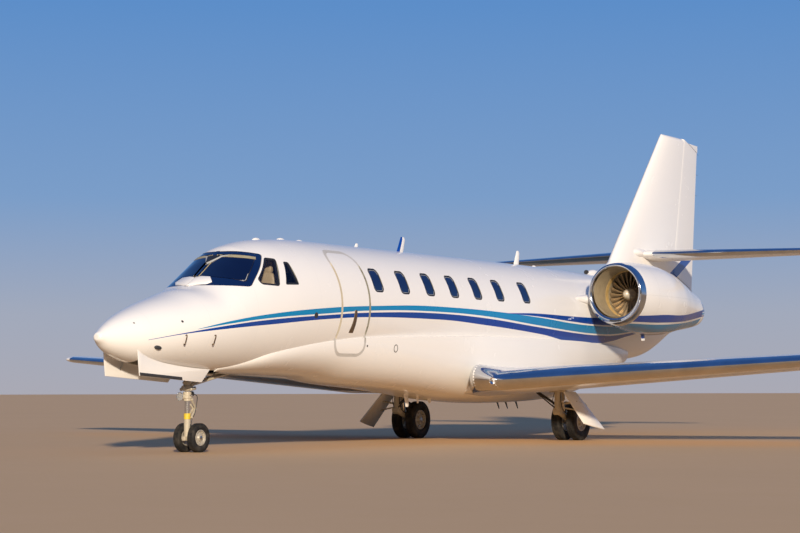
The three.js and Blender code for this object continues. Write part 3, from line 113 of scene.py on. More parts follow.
class Shape:
    """Points and faces of one piece, gathered before it becomes an object."""

    def __init__(self):
        self.points, self.faces, self.slots = [], [], []

    def add(self, points, faces, slot=0):
        points = [tuple(float(c) for c in p) for p in points]
        if volume(points, faces) < 0:
            faces = [f[::-1] for f in faces]
        base = len(self.points)
        self.points += points
        self.faces += [tuple(base + k for k in f) for f in faces]
        self.slots += [slot] * len(faces)
        return self

    def loft(self, rings, slot=0, loop=False):
        """A body through rings: with closed ends, or round on itself as a tyre is."""
        count, total = len(rings[0]), len(rings)
        faces = []
        for i in range(total if loop else total - 1):
            base, after = i * count, (i + 1) % total * count
            for k in range(count):
                faces.append((base + k, base + (k + 1) % count, after + (k + 1) % count, after + k))
        if not loop:
            faces += [tuple(range(count))[::-1], tuple(range((total - 1) * count, total * count))]
        return self.add([p for ring in rings for p in ring], faces, slot)

    def lathe(self, profile, centre, axis, sides=48):
        """A turned profile of (radius, distance along the axis), closed unless it ends on the axis."""
        centre, axis = Vector(centre), Vector(axis).normalized()
        u = axis.orthogonal().normalized()
        v = axis.cross(u)
        rings = [[centre + axis * along + (u * c + v * s) * radius for radius, along in profile]
                 for c, s in turns(sides)]
        if profile[0][0] > 1e-6 and profile[-1][0] > 1e-6:
            return self.loft(rings, loop=True)
        points = [centre + axis * profile[0][1], centre + axis * profile[-1][1]]
        faces = []
        n = len(profile) - 2
        for k, ring in enumerate(rings):
            points += ring[1:-1]
            a, b = 2 + k * n, 2 + (k + 1) % sides * n
            faces += [(0, a, b), (1, b + n - 1, a + n - 1)]
            faces += [(a + j, a + j + 1, b + j + 1, b + j) for j in range(n - 1)]
        return self.add(points, faces)

    def rod(self, start, end, radius, sides=24, edge=0.0, tip=None):
        start, end = Vector(start), Vector(end)
        length = (end - start).length
        tip = radius if tip is None else tip
        profile = [(0, 0), (radius - edge, 0), (radius, edge), (tip, length - edge), (tip - edge, length),
                   (0, length)]
        if not edge:
            profile = [(0, 0), (radius, 0), (tip, length), (0, length)]
        return self.lathe(profile, start, end - start, sides)

    def rods(self, *rows):
        """Rods from rows of start, end, radius, sides, edge and tip radius."""
        for row in rows:
            self.rod(*row)
        return self

    def hose(self, path, radius, sides=10):
        """A round hose along a smooth path, with closed ends."""
        path = [Vector(p) for p in path]
        points = []
        for a, b, c, d in zip(path[:1] + path, path, path[1:], path[2:] + path[-1:]):
            for j in range(HOSE_STEPS):
                t = j / HOSE_STEPS
                points.append(0.5 * (2 * b + (c - a) * t + (2 * a - 5 * b + 4 * c - d) * t * t
                                     + (3 * b - 3 * c + d - a) * t ** 3))
        points.append(path[-1])
        normal = (points[1] - points[0]).orthogonal().normalized()
        rings = []
        for before, p, after in zip(points[:1] + points, points, points[1:] + points[-1:]):
            ahead = (after - before).normalized()
            normal = (normal - ahead * normal.dot(ahead)).normalized()
            side = ahead.cross(normal)
            rings.append([p + radius * (normal * c + side * s) for c, s in turns(sides)])
        return self.loft(rings)

    def box(self, low, high, slot=0):
        (a, b, c), (d, e, f) = low, high
        return self.loft([[(a, b, z), (d, b, z), (d, e, z), (a, e, z)] for z in (c, f)], slot)

    def merge(self, other):
        base = len(self.points)
        self.points += other.points
        self.faces += [tuple(base + k for k in f) for f in other.faces]
        self.slots += other.slots
        return self

    def on(self, side):
        """The shape itself on the port side, and its mirror image on the starboard side."""
        if side > 0:
            return self
        twin = Shape()
        twin.points = [(-x, y, z) for x, y, z in self.points]
        twin.faces = [f[::-1] for f in self.faces]
        twin.slots = self.slots[:]
        return twin


def both(shape):
    return Shape().merge(shape).merge(shape.on(-1))


def volume(points, faces):
    total = 0.0
    for face in faces:
        a = points[face[0]]
        for j, k in zip(face[1:], face[2:]):
            b, c = points[j], points[k]
            total += (a[0] * (b[1] * c[2] - b[2] * c[1]) - a[1] * (b[0] * c[2] - b[2] * c[0])
                      + a[2] * (b[0] * c[1] - b[1] * c[0]))
    return total


def raw_object(name, shape, *materials):
    mesh = bpy.data.meshes.new(name)
    mesh.from_pydata([(x, s - MIDDLE, z) for x, s, z in shape.points], [], shape.faces)
    for material in materials:
        mesh.materials.append(material)
    if len(materials) > 1:
        mesh.polygons.foreach_set("material_index", shape.slots)
    obj = bpy.data.objects.new(name, mesh)
    scene.collection.objects.link(obj)
    return obj


def apply_modifiers(obj):
    depsgraph = bpy.context.evaluated_depsgraph_get()
    mesh = bpy.data.meshes.new_from_object(obj.evaluated_get(depsgraph), depsgraph=depsgraph)
    obj.modifiers.clear()
    old = obj.data
    obj.data = mesh
    bpy.data.meshes.remove(old)


def carve(obj, tool_shape, operation="DIFFERENCE"):
    """Cuts an object by a shape, or keeps what lies inside it. Cut faces take its last material."""
    tool = raw_object("tool", tool_shape, obj.data.materials[-1])
    cut = obj.modifiers.new("cut", "BOOLEAN")
    cut.operation = operation
    cut.solver = "EXACT"
    cut.object = tool
    cut.material_mode = "TRANSFER"
    apply_modifiers(obj)
    bpy.data.objects.remove(tool)


def settle(obj, body=AIRFRAME, nodes=(), slot="paint", sharp=35, bevel=0.0):
    """Rounds the edges of a finished piece, sets its shading, and rides it on its body."""
    if bevel:
        edge = obj.modifiers.new("edge", "BEVEL")
        edge.width = bevel
        edge.segments = 2
        edge.limit_method = "ANGLE"
        edge.angle_limit = math.radians(32)
        apply_modifiers(obj)
    mesh = obj.data
    mesh.polygons.foreach_set("use_smooth", [True] * len(mesh.polygons))
    mesh.set_sharp_from_angle(angle=math.radians(sharp))
    mesh.update()
    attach(obj, body)
    if nodes:
        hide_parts(*nodes)
    return obj


def make(name, shape, materials, *how, **more):
    """A piece from a shape, settled in one step."""
    if not isinstance(materials, list):
        materials = [materials]
    return settle(raw_object(name, shape, *materials), *how, **more)


def pair(kind, shape, materials, replaced=None, body=None, **how):
    """A piece on each side from its port shape. The names of piece, node and body end in the side."""
    return [make(f"{kind}_{name}", shape.on(side), materials, f"{body}_{name}" if body else AIRFRAME,
                 [f"{replaced}_{name}"] if replaced else (), **how) for name, side in SIDES]


# Materials

class Graph:
    """A material's nodes, built by short calls that return sockets."""

    def __init__(self, name, **sockets):
        self.material = bpy.data.materials.new(name)
        self.material.use_nodes = True
        self.nodes = self.material.node_tree.nodes
        self.links = self.material.node_tree.links
        self.surface = self.nodes["Principled BSDF"]
        for key, value in sockets.items():
            self.surface.inputs[key.replace("_", " ")].default_value = value

    def node(self, kind, **settings):
        node = self.nodes.new(kind)
        for key, value in settings.items():
            setattr(node, key, value)
        return node

    def feed(self, socket, value):
        if isinstance(value, bpy.types.NodeSocket):
            self.links.new(value, socket)
        else:
            socket.default_value = value

    def math(self, operation, *values):
        node = self.node("ShaderNodeMath", operation=operation)
        for k, value in enumerate(values):
            self.feed(node.inputs[k], value)
        return node.outputs[0]

    def place(self):
        """The piece's own coordinates, which move with it: X, station, Z."""
        split = self.node("ShaderNodeSeparateXYZ")
        self.links.new(self.node("ShaderNodeTexCoord").outputs["Object"], split.inputs[0])
        x, y, z = split.outputs
        return x, self.math("ADD", y, MIDDLE), z

    def texture(self, kind, stretch=(1, 1, 1), **settings):
        mapping = self.node("ShaderNodeMapping")
        mapping.inputs["Scale"].default_value = stretch
        self.links.new(self.node("ShaderNodeTexCoord").outputs["Object"], mapping.inputs["Vector"])
        node = self.node(kind)
        for key, value in settings.items():
            node.inputs[key].default_value = value
        self.links.new(mapping.outputs[0], node.inputs["Vector"])
        return node.outputs

    def noise(self, scale, detail=4.0, stretch=(1, 1, 1)):
        return self.texture("ShaderNodeTexNoise", stretch, Scale=scale, Detail=detail, Roughness=0.55)["Fac"]

    def cells(self, scale):
        return self.texture("ShaderNodeTexVoronoi", Scale=scale)["Distance"]

    def ramp(self, value, low, high):
        """Stretches a value so that low becomes 0 and high becomes 1."""
        node = self.node("ShaderNodeMapRange")
        node.inputs["From Min"].default_value = low
        node.inputs["From Max"].default_value = high
        self.feed(node.inputs["Value"], value)
        return node.outputs["Result"]

    def curve(self, station, points):
        """A smooth line through (station, height) points, read at a station."""
        node = self.node("ShaderNodeFloatCurve")
        line = node.mapping.curves[0]
        scaled = [(s / CURVE_LENGTH, (z - CURVE_FOOT) / CURVE_HEIGHT) for s, z in points]
        line.points[0].location = scaled[0]
        line.points[1].location = scaled[-1]
        for point in scaled[1:-1]:
            line.points.new(*point)
        for point in line.points:
            point.handle_type = "AUTO_CLAMPED"
        node.mapping.update()
        self.feed(node.inputs["Value"], self.math("DIVIDE", station, CURVE_LENGTH))
        return self.math("MULTIPLY_ADD", node.outputs[0], CURVE_HEIGHT, CURVE_FOOT)

    def between(self, value, low, high):
        above = self.math("GREATER_THAN", value, low)
        return self.math("MULTIPLY", above, self.math("LESS_THAN", value, high))

    def band(self, station, height, top, bottom):
        """One between two curves, from the first station of the upper one to its last."""
        inside = self.between(height, self.curve(station, bottom), self.curve(station, top))
        return self.math("MULTIPLY", inside, self.between(station, top[0][0], top[-1][0]))

    def seams(self, value, places, width):
        """One near any of the places, and zero elsewhere."""
        mask = self.math("COMPARE", value, places[0], width)
        for at in places[1:]:
            mask = self.math("MAXIMUM", mask, self.math("COMPARE", value, at, width))
        return mask

    def mix(self, share, first, second):
        node = self.node("ShaderNodeMix", data_type="RGBA")
        self.feed(node.inputs["Factor"], share)
        for socket, value in ((node.inputs[6], first), (node.inputs[7], second)):
            self.feed(socket, value if isinstance(value, bpy.types.NodeSocket) else (*value, 1))
        return node.outputs[2]

    def color(self, value):
        self.feed(self.surface.inputs["Base Color"], value)

    def rough(self, value, low, high):
        self.feed(self.surface.inputs["Roughness"], self.math("MULTIPLY_ADD", value, high - low, low))

    def bump(self, value, height, strength=1.0):
        node = self.node("ShaderNodeBump")
        node.inputs["Strength"].default_value = strength
        node.inputs["Distance"].default_value = height
        self.feed(node.inputs["Height"], value)
        before = self.surface.inputs["Normal"].links
        if before:
            self.links.new(before[0].from_socket, node.inputs["Normal"])
        self.links.new(node.outputs[0], self.surface.inputs["Normal"])


# The range of the band curves, as stations and heights
CURVE_LENGTH, CURVE_FOOT, CURVE_HEIGHT = 20.0, 1.0, 3.0

WHITE = (0.83, 0.81, 0.785)
DARK_BLUE = (0.0, 0.048, 0.3)
LIGHT_BLUE = (0.0, 0.215, 0.47)

# Edges of the painted bands on the fuselage, as (station, height)
LIGHT_TOP = [
    (1.28, 1.69), (1.85, 1.813), (2.62, 1.932), (3.95, 2.065), (4.96, 2.125), (6.9, 2.187), (8.34, 2.176),
    (10.26, 2.113), (11.6, 2.044), (12.5, 2.03), (13.2, 2.035), (14.5, 2.12), (16.5, 2.31), (19.3, 2.53)
]
LIGHT_BOTTOM = [
    (1.28, 1.686), (1.85, 1.777), (2.63, 1.875), (3.95, 1.983), (4.97, 2.056), (6.9, 2.103), (8.34, 2.082),
    (10.28, 1.975), (11.64, 1.908), (12.5, 1.888), (13.2, 1.893), (14.3, 1.975), (16.5, 2.22), (19.3, 2.49)
]
DARK_TOP = [
    (0.57, 1.535), (1.05, 1.628), (1.85, 1.757), (2.63, 1.853), (3.96, 1.96), (4.97, 2.026), (6.9, 2.077),
    (8.35, 2.048), (10.28, 1.945), (11.65, 1.88), (12.5, 1.862), (13.2, 1.866), (14.3, 1.95), (16.5, 2.2),
    (19.3, 2.48)
]
DARK_BOTTOM = [
    (0.57, 1.529), (1.05, 1.615), (1.86, 1.711), (2.65, 1.786), (3.97, 1.902), (4.98, 1.958), (6.92, 1.981),
    (8.37, 1.935), (10.33, 1.831), (11.78, 1.722), (12.7, 1.722), (13.36, 1.764), (14.09, 1.875),
    (16.5, 2.16), (19.3, 2.46)
]
UPPER_TOP = [
    (9.04, 2.152), (10.26, 2.182), (11.6, 2.172), (12.7, 2.183), (14.0, 2.235), (16.5, 2.42), (19.3, 2.59)
]
UPPER_BOTTOM = [
    (9.04, 2.15), (10.26, 2.128), (11.6, 2.076), (12.5, 2.055), (13.2, 2.06), (14.5, 2.145), (16.5, 2.335),
    (19.3, 2.545)
]

# The same on the nacelles
COWL_UPPER_TOP = [
    (12.0, 2.18), (12.55, 2.2), (13.04, 2.225), (13.86, 2.245), (14.82, 2.33), (15.6, 2.42)
]
COWL_UPPER_BOTTOM = [
    (12.0, 2.082), (12.71, 2.079), (13.2, 2.09), (14.0, 2.128), (14.7, 2.185), (15.6, 2.285)
]
COWL_LIGHT_TOP = [
    (12.0, 2.052), (12.81, 2.045), (13.29, 2.056), (14.0, 2.098), (14.87, 2.165), (15.6, 2.262)
]
COWL_LIGHT_BOTTOM = [
    (12.0, 1.93), (12.85, 1.908), (13.72, 1.93), (14.11, 1.955), (15.6, 2.09)
]
COWL_LOWER_TOP = [
    (12.0, 1.905), (13.1, 1.885), (13.72, 1.908), (14.2, 1.93), (15.6, 2.06)
]
COWL_LOWER_END = 13.95

# Stations of the skin joints that can be seen close to
SKIN_JOINTS = (0.62, 1.5, 2.38, 3.75, 5.2, 8.35, 10.25, 11.9, 13.6, 15.3, 17.2, 18.45)


def paint_base(name):
    return Graph(name, Roughness=0.24, Coat_Weight=0.35, Coat_Roughness=0.04, IOR=1.5,
                 Specular_IOR_Level=0.3)


def finish_paint(g, color):
    """Fine dust, uneven gloss and the ripple of sprayed paint."""
    dust = g.ramp(g.noise(1.3, 6), 0.45, 0.75)
    streak = g.ramp(g.noise(5.0, 4, (1, 0.12, 1)), 0.5, 0.8)
    grime = g.math("MULTIPLY", g.math("ADD", dust, streak), 0.012)
    g.color(g.mix(grime, color, (0.42, 0.36, 0.28)))
    g.rough(g.noise(2.2, 5), 0.17, 0.33)
    g.bump(g.noise(160, 2), 0.00025, 0.35)
    return g.material


def fuselage_paint():
    g = paint_base("paint_striped")
    _, s, z = g.place()
    dark = g.math("MAXIMUM", g.band(s, z, DARK_TOP, DARK_BOTTOM), g.band(s, z, UPPER_TOP, UPPER_BOTTOM))
    color = g.mix(dark, g.mix(g.band(s, z, LIGHT_TOP, LIGHT_BOTTOM), WHITE, LIGHT_BLUE), DARK_BLUE)
    seams = g.seams(s, SKIN_JOINTS, 0.0022)
    finish_paint(g, g.mix(g.math("MULTIPLY", seams, 0.1), color, (0.25, 0.24, 0.23)))
    g.bump(g.math("SUBTRACT", 1.0, seams), 0.0004, 0.3)
    return g.material


def cowl_paint():
    g = paint_base("paint_cowl")
    _, s, z = g.place()
    ahead = g.math("LESS_THAN", s, COWL_LOWER_END)
    lower = g.math("MULTIPLY", g.math("LESS_THAN", z, g.curve(s, COWL_LOWER_TOP)), ahead)
    dark = g.math("MAXIMUM", g.band(s, z, COWL_UPPER_TOP, COWL_UPPER_BOTTOM), lower)
    light = g.band(s, z, COWL_LIGHT_TOP, COWL_LIGHT_BOTTOM)
    color = g.mix(dark, g.mix(light, WHITE, LIGHT_BLUE), DARK_BLUE)
    seams = g.math("MAXIMUM", g.seams(s, (12.72, 14.35), 0.002), g.seams(z, (2.56,), 0.0016))
    finish_paint(g, g.mix(g.math("MULTIPLY", seams, 0.3), color, (0.2, 0.2, 0.2)))
    g.bump(g.math("SUBTRACT", 1.0, seams), 0.001, 0.5)
    return g.material


def plain_paint(name, color):
    return finish_paint(paint_base(name), color)


def fin_paint():
    """White with one dark band that slants up across the foot of the rudder."""
    g = paint_base("paint_fin")
    _, s, z = g.place()
    along = g.math("MULTIPLY_ADD", s, -0.438, z)
    band = g.math("MULTIPLY", g.between(along, -4.6, -4.355), g.math("LESS_THAN", z, 3.66))
    return finish_paint(g, g.mix(band, WHITE, DARK_BLUE))


def wing_paint():
    """White with faint seams along the spars and across the ribs."""
    g = paint_base("paint_wing")
    x, s, _ = g.place()
    out = g.math("ABSOLUTE", x)
    front = g.math("MULTIPLY_ADD", out, WING["sweep"], WING["apex"])
    chord = g.math("MULTIPLY_ADD", out, (WING["tip"] - WING["root"]) / HALF_SPAN, WING["root"])
    share = g.math("DIVIDE", g.math("SUBTRACT", s, front), chord)
    ribs = g.math("LESS_THAN", g.math("FRACT", g.math("MULTIPLY", out, 0.9)), 0.003)
    seams = g.math("MAXIMUM", g.seams(share, (0.17, 0.58), 0.0008), ribs)
    return finish_paint(g, g.mix(g.math("MULTIPLY", seams, 0.35), WHITE, (0.3, 0.3, 0.3)))


def metal(name, color, low, high, scale=40, stretch=(1, 1, 1), bump=0.0002):
    g = Graph(name, Metallic=1.0)
    tint = tuple(c * 0.82 for c in color)
    g.color(g.mix(g.ramp(g.noise(3.0, 5), 0.35, 0.7), color, tint))
    g.rough(g.noise(scale, 4, stretch), low, high)
    g.bump(g.noise(scale * 2, 3, stretch), bump, 0.5)
    return g.material


def painted_metal(name, color, low=0.3, high=0.5, dirt=(0.16, 0.12, 0.08), amount=0.3, metallic=0.0):
    g = Graph(name, Metallic=metallic)
    spots = g.ramp(g.noise(14, 6), 0.48, 0.72)
    g.color(g.mix(g.math("MULTIPLY", spots, amount), color, dirt))
    g.rough(g.noise(25, 5), low, high)
    g.bump(g.noise(120, 3), 0.0004, 0.4)
    return g.material


def rubber():
    g = Graph("rubber", Specular_IOR_Level=0.3)
    dust = g.ramp(g.noise(9, 6), 0.42, 0.7)
    g.color(g.mix(dust, (0.012, 0.012, 0.013), (0.055, 0.048, 0.04)))
    g.rough(g.noise(30, 5), 0.6, 0.9)
    g.bump(g.noise(260, 3), 0.0006, 0.5)
    return g.material


def glass(name, color, alpha=1.0):
    g = Graph(name, IOR=1.5, Coat_Weight=1.0, Coat_Roughness=0.0, Alpha=alpha, Specular_IOR_Level=0.6)
    haze = g.noise(0.9, 3)
    g.color(g.mix(haze, color, tuple(c * 0.45 for c in color)))
    g.rough(g.noise(3, 3), 0.02, 0.06)
    return g.material


def liner():
    """Perforated lining of the inlet."""
    g = Graph("liner", Metallic=0.3)
    holes = g.ramp(g.cells(140), 0.1, 0.35)
    tint = g.mix(g.ramp(g.noise(4, 4), 0.4, 0.7), (0.46, 0.38, 0.25), (0.34, 0.28, 0.19))
    g.color(g.mix(holes, (0.12, 0.1, 0.07), tint))
    g.rough(g.noise(20, 3), 0.38, 0.6)
    g.bump(holes, 0.0008, 0.6)
    return g.material


def leather():
    g = Graph("leather", Sheen_Weight=0.15)
    grain = g.cells(420)
    g.color(g.mix(g.ramp(g.noise(6, 5), 0.35, 0.7), (0.6, 0.49, 0.33), (0.5, 0.4, 0.26)))
    g.rough(grain, 0.38, 0.6)
    g.bump(grain, 0.0006, 0.5)
    return g.material


def carpet():
    g = Graph("carpet", Sheen_Weight=0.4)
    pile = g.noise(700, 2)
    g.color(g.mix(pile, (0.15, 0.12, 0.09), (0.34, 0.29, 0.23)))
    g.rough(pile, 0.85, 1.0)
    g.bump(pile, 0.003, 0.8)
    return g.material


def glowing(name, color, strength=0.0):
    g = Graph(name, Coat_Weight=1.0, Emission_Strength=strength)
    g.surface.inputs["Emission Color"].default_value = (*color, 1)
    g.color(g.mix(g.ramp(g.cells(90), 0.0, 0.6), color, tuple(c * 0.5 for c in color)))
    g.rough(g.noise(30, 2), 0.05, 0.15)
    return g.material


WING = {"apex": 7.1, "sweep": 0.27, "root": 3.8, "tip": 1.2, "height": 0.915, "dihedral": 0.0605,
        "root_thick": 0.125, "tip_thick": 0.11}

STRIPED = fuselage_paint()
COWL = cowl_paint()
PLAIN = plain_paint("paint_plain", WHITE)
NAVY = plain_paint("paint_navy", DARK_BLUE)
FIN_PAINT = fin_paint()
WING_PAINT = wing_paint()
POLISHED = metal("polished", (0.62, 0.65, 0.7), 0.06, 0.14, 12)
CHROME = metal("chrome", (0.85, 0.86, 0.88), 0.04, 0.09, 20)
TITANIUM = painted_metal("titanium", (0.34, 0.26, 0.17), 0.3, 0.5, metallic=0.5)
# The spinner's base colour is lighter than its own: painted light, as if the sun shone on it inside the
# inlet.
SPINNER_LIT = painted_metal("spinner", (0.66, 0.59, 0.47), 0.3, 0.45, metallic=0.2)
CASE_RING = painted_metal("fan_case_ring", (0.74, 0.53, 0.22), 0.3, 0.5, metallic=0.5)
KHAKI = painted_metal("shade_khaki", (0.36, 0.32, 0.2), 0.5, 0.7)
HOT_METAL = metal("hot_metal", (0.36, 0.31, 0.26), 0.3, 0.5, 14, (1, 0.2, 1))
STEEL = metal("steel", (0.45, 0.45, 0.45), 0.25, 0.45, 40)
LEG = painted_metal("leg_cream", (0.52, 0.46, 0.35), 0.28, 0.45)
HUB = painted_metal("hub_alloy", (0.5, 0.46, 0.38), 0.3, 0.5, (0.08, 0.06, 0.05), 0.45, 0.25)
WELL = painted_metal("well_primer", (0.3, 0.29, 0.24), 0.5, 0.7, (0.05, 0.04, 0.03), 0.6)
DARK = painted_metal("dark_fitting", (0.03, 0.03, 0.032), 0.35, 0.6, (0.1, 0.08, 0.06), 0.3)
YELLOW = painted_metal("yellow_band", (0.78, 0.56, 0.04), 0.3, 0.5)
HANDLE = painted_metal("handle_brown", (0.085, 0.055, 0.032), 0.3, 0.45)
PROBE = metal("probe_brown", (0.16, 0.11, 0.07), 0.25, 0.4, 40)
RUBBER = rubber()
SEAL = painted_metal("seal_grey", (0.42, 0.43, 0.43), 0.5, 0.7, (0.2, 0.2, 0.2), 0.2)
DOOR_GREY = painted_metal("seal_pale", (0.52, 0.5, 0.47), 0.5, 0.7, (0.3, 0.3, 0.3), 0.2)
BLACK_SEAL = painted_metal("seal_black", (0.015, 0.016, 0.02), 0.4, 0.6, (0.05, 0.05, 0.05), 0.3)
GOLD = painted_metal("gold_seal", (0.5, 0.42, 0.22), 0.4, 0.6)
PANE = glass("pane_navy", (0.003, 0.006, 0.055))
SCREEN = glass("screen_navy", (0.001, 0.003, 0.03))
SCREEN_EDGE = glass("screen_edge", (0.002, 0.012, 0.07))
CLEAR = glass("clear_tint", (0.006, 0.012, 0.05), 0.15)
LENS = glass("lamp_lens", (0.75, 0.76, 0.76), 0.35)
LINER = liner()
LEATHER = leather()
CARPET = carpet()
TRIM = painted_metal("cabin_trim", (0.56, 0.5, 0.4), 0.5, 0.7, (0.4, 0.35, 0.28), 0.2)
PANEL = painted_metal("panel_black", (0.02, 0.02, 0.022), 0.5, 0.7, (0.06, 0.06, 0.06), 0.3)
RED = glowing("beacon_red", (0.55, 0.02, 0.01), 0.15)
GREEN = glowing("lamp_green", (0.01, 0.35, 0.1), 0.1)


# Fuselage

BODY = [
    (0, 1.6, 1.54, 0.03, 1.567), (0.06, 1.65, 1.478, 0.098, 1.562), (0.15, 1.712, 1.408, 0.162, 1.56),
    (0.31, 1.808, 1.33, 0.264, 1.568), (0.62, 1.948, 1.238, 0.438, 1.598),
    (0.95, 2.066, 1.182, 0.572, 1.648), (1.28, 2.165, 1.15, 0.67, 1.7), (1.55, 2.248, 1.13, 0.735, 1.75),
    (1.8, 2.3, 1.115, 0.785, 1.81), (2.15, 2.535, 1.105, 0.842, 1.88), (2.4, 2.728, 1.102, 0.872, 1.92),
    (2.7, 2.932, 1.1, 0.905, 1.97), (3.3, 3.06, 1.105, 0.955, 2.05), (4.1, 3.112, 1.115, 0.985, 2.105),
    (5.0, 3.12, 1.12, 1.0, 2.12), (10.5, 3.12, 1.12, 1.0, 2.12), (11.5, 3.115, 1.15, 0.985, 2.13),
    (12.5, 3.105, 1.215, 0.945, 2.15), (13.5, 3.085, 1.305, 0.885, 2.19), (14.5, 3.065, 1.4, 0.805, 2.23),
    (15.75, 3.05, 1.5, 0.69, 2.28), (17.5, 3.01, 2.04, 0.44, 2.5), (18.5, 2.93, 2.16, 0.3, 2.54),
    (19.0, 2.83, 2.24, 0.19, 2.535), (19.25, 2.7, 2.37, 0.1, 2.53), (19.35, 2.56, 2.5, 0.025, 2.53)
]
body_at = smooth_columns(BODY, np.sqrt)


FAIRING = [
    (2.15, 0.33, 1.17, 1.098), (3.0, 0.7, 1.4, 1.085), (4.2, 0.85, 1.585, 1.055), (5.1, 0.915, 1.655, 0.955),
    (6.7, 1.0, 1.7, 0.85), (8.6, 1.07, 1.74, 0.675), (9.6, 1.08, 1.74, 0.635), (10.6, 1.07, 1.74, 0.646),
    (11.7, 1.03, 1.73, 0.695), (12.7, 0.91, 1.7, 0.83), (13.7, 0.74, 1.66, 1.06), (14.7, 0.5, 1.6, 1.33)
]
fairing_at = smooth_columns(FAIRING)


def fairing_power(station):
    """How square the fairing's section is: round under the nose, fuller beside the wing."""
    return float(np.interp(station, (3.6, 7.0), (2.1, 3.0)))


def fairing_ring(station, sides=72):
    half, top, bottom = fairing_at(station)
    curve = 2 / fairing_power(station)
    ring = []
    for k in range(sides + 1):
        angle = math.pi * k / sides
        across = math.copysign(abs(math.cos(angle)) ** curve, math.cos(angle))
        ring.append((half * across, station, top - (top - bottom) * abs(math.sin(angle)) ** curve))
    return ring + [(-half * 0.5, station, top + 0.04), (half * 0.5, station, top + 0.04)]


def body_ring(station, sides, inset=0.0, floor=-1.0):
    crown, keel, half, waist = body_at(station)
    inset = min(inset, half * 0.8)
    ring = []
    for c, s in turns(sides):
        rise = crown - waist if s > 0 else waist - keel
        ring.append(((half - inset) * c, station, max(waist + (rise - inset) * s, floor)))
    return ring


def body_point(station, height, out=0.0, side=1):
    """The point of the fuselage's side at a station and height, moved outwards."""
    crown, keel, half, waist = body_at(station)
    rise = crown - waist if height > waist else waist - keel
    lift = min(max((height - waist) / rise, -1), 1)
    x = half * math.sqrt(1 - lift * lift)
    normal = Vector((x / half ** 2, 0, (height - waist) / rise ** 2)).normalized()
    return Vector((side * (x + normal.x * out), station, height + normal.z * out))


def crown_point(x, station, out=0.0):
    """The point of the fuselage's top at a distance from the centre line, moved up."""
    crown, keel, half, waist = body_at(station)
    return (x, station, waist + (crown - waist) * math.sqrt(max(0.0, 1 - (x / half) ** 2)) + out)


def outer_point(station, height, out=0.0):
    """The outermost point of the port side: the fairing's where it lies outside the fuselage's."""
    half, top, bottom = fairing_at(station)
    if height < top:
        drop = min((top - height) / (top - bottom), 1)
        power = fairing_power(station)
        x = half * (1 - drop ** power) ** (1 / power)
        if x > body_point(station, height).x:
            return Vector((x + out, station, height))
    return body_point(station, height, out)


def body_stations(start, end, step):
    return np.linspace(start, end, max(2, int(round((end - start) / step)) + 1)).tolist()


# Cutting bodies reach sideways from inside the cabin to outside the skin
CUT_FROM, CUT_TO = 0.3, 1.4


def prism(outline, x0=CUT_FROM, x1=CUT_TO):
    return Shape().loft([[(x, s, z) for s, z in outline] for x in (x0, x1)])


def cuts_through(outlines, x0=CUT_FROM):
    """Cutting bodies on outlines, on both sides."""
    cuts = Shape()
    for outline in outlines:
        cuts.merge(both(prism(outline, x0)))
    return cuts


def rounded(front, rear, bottom, top, corner, steps=6):
    outline = []
    for quarter, (s, z) in enumerate(((rear - corner, top - corner), (front + corner, top - corner),
                                      (front + corner, bottom + corner), (rear - corner, bottom + corner))):
        for k in range(steps + 1):
            angle = (quarter + k / steps) * math.pi / 2
            outline.append((s + corner * math.cos(angle), z + corner * math.sin(angle)))
    return outline


def soften(outline, radius, steps=4):
    """Rounds the corners of an outline of (station, height)."""
    points = [np.array(p) for p in outline]
    result = []
    for a, b, c in zip(points[-1:] + points, points, points[1:] + points[:1]):
        before, after = np.linalg.norm(a - b), np.linalg.norm(c - b)
        reach = min(radius, 0.45 * before, 0.45 * after)
        p, q = b + (a - b) / before * reach, b + (c - b) / after * reach
        for j in range(steps + 1):
            t = j / steps
            result.append(tuple((1 - t) ** 2 * p + 2 * t * (1 - t) * b + t * t * q))
    return result


def grown(outline, amount):
    """An outline moved outwards by an amount along its own normals."""
    points = [np.array(p, float) for p in outline]
    ahead = points[1:] + points[:1]
    area = sum(a[0] * b[1] - b[0] * a[1] for a, b in zip(points, ahead))
    turn = 1 if area > 0 else -1
    result = []
    for a, b, c in zip(points[-1:] + points, points, ahead):
        run = c - a
        normal = np.array([run[1], -run[0]]) * turn / (np.linalg.norm(run) or 1)
        result.append(tuple(b + normal * amount))
    return result


WINDOWS = [rounded(s - 0.135, s + 0.135, 2.345, 2.715, 0.078)
           for s in (5.27, 6.01, 6.748, 7.486, 8.224, 8.962, 9.86)]
DOOR_EDGE = rounded(4.275, 4.945, 1.405, 2.915, 0.16, 8)
DOOR_SEAL = 0.046
WINDSHIELD = soften([(1.6, 2.48), (1.845, 2.325), (2.36, 2.307), (2.88, 2.803), (2.56, 2.85),
                     (2.2, 2.79)], 0.05)
SIDE_PANES = (soften([(2.51, 2.417), (2.548, 2.346), (2.872, 2.334), (3.047, 2.745), (2.863, 2.757)], 0.04),
              soften([(3.004, 2.362), (3.289, 2.373), (3.254, 2.706), (3.158, 2.709)], 0.03))
SCREEN_CORNERS = [(2.0, 2.47), (2.333, 2.379), (2.728, 2.756), (2.495, 2.802), (2.235, 2.66)]
SCREEN_ROUND = 0.03
CLEAR_SCREEN = soften(SCREEN_CORNERS, SCREEN_ROUND)


def skin_layer(start, end, outer, inner, sides=128, step=0.05):
    """A tube that follows the fuselage's form between two depths under its surface."""
    stations = body_stations(start, end, step)
    rings = [body_ring(s, sides, outer) for s in stations]
    rings += [body_ring(s, sides, inner) for s in stations[::-1]]
    return Shape().loft(rings, loop=True)


# The nose wheel well, and behind it the slot of the drag brace
WELL_HALF, WELL_END = 0.255, 2.3
SLOT_HALF, SLOT_START, SLOT_END = 0.09, 2.31, 2.96


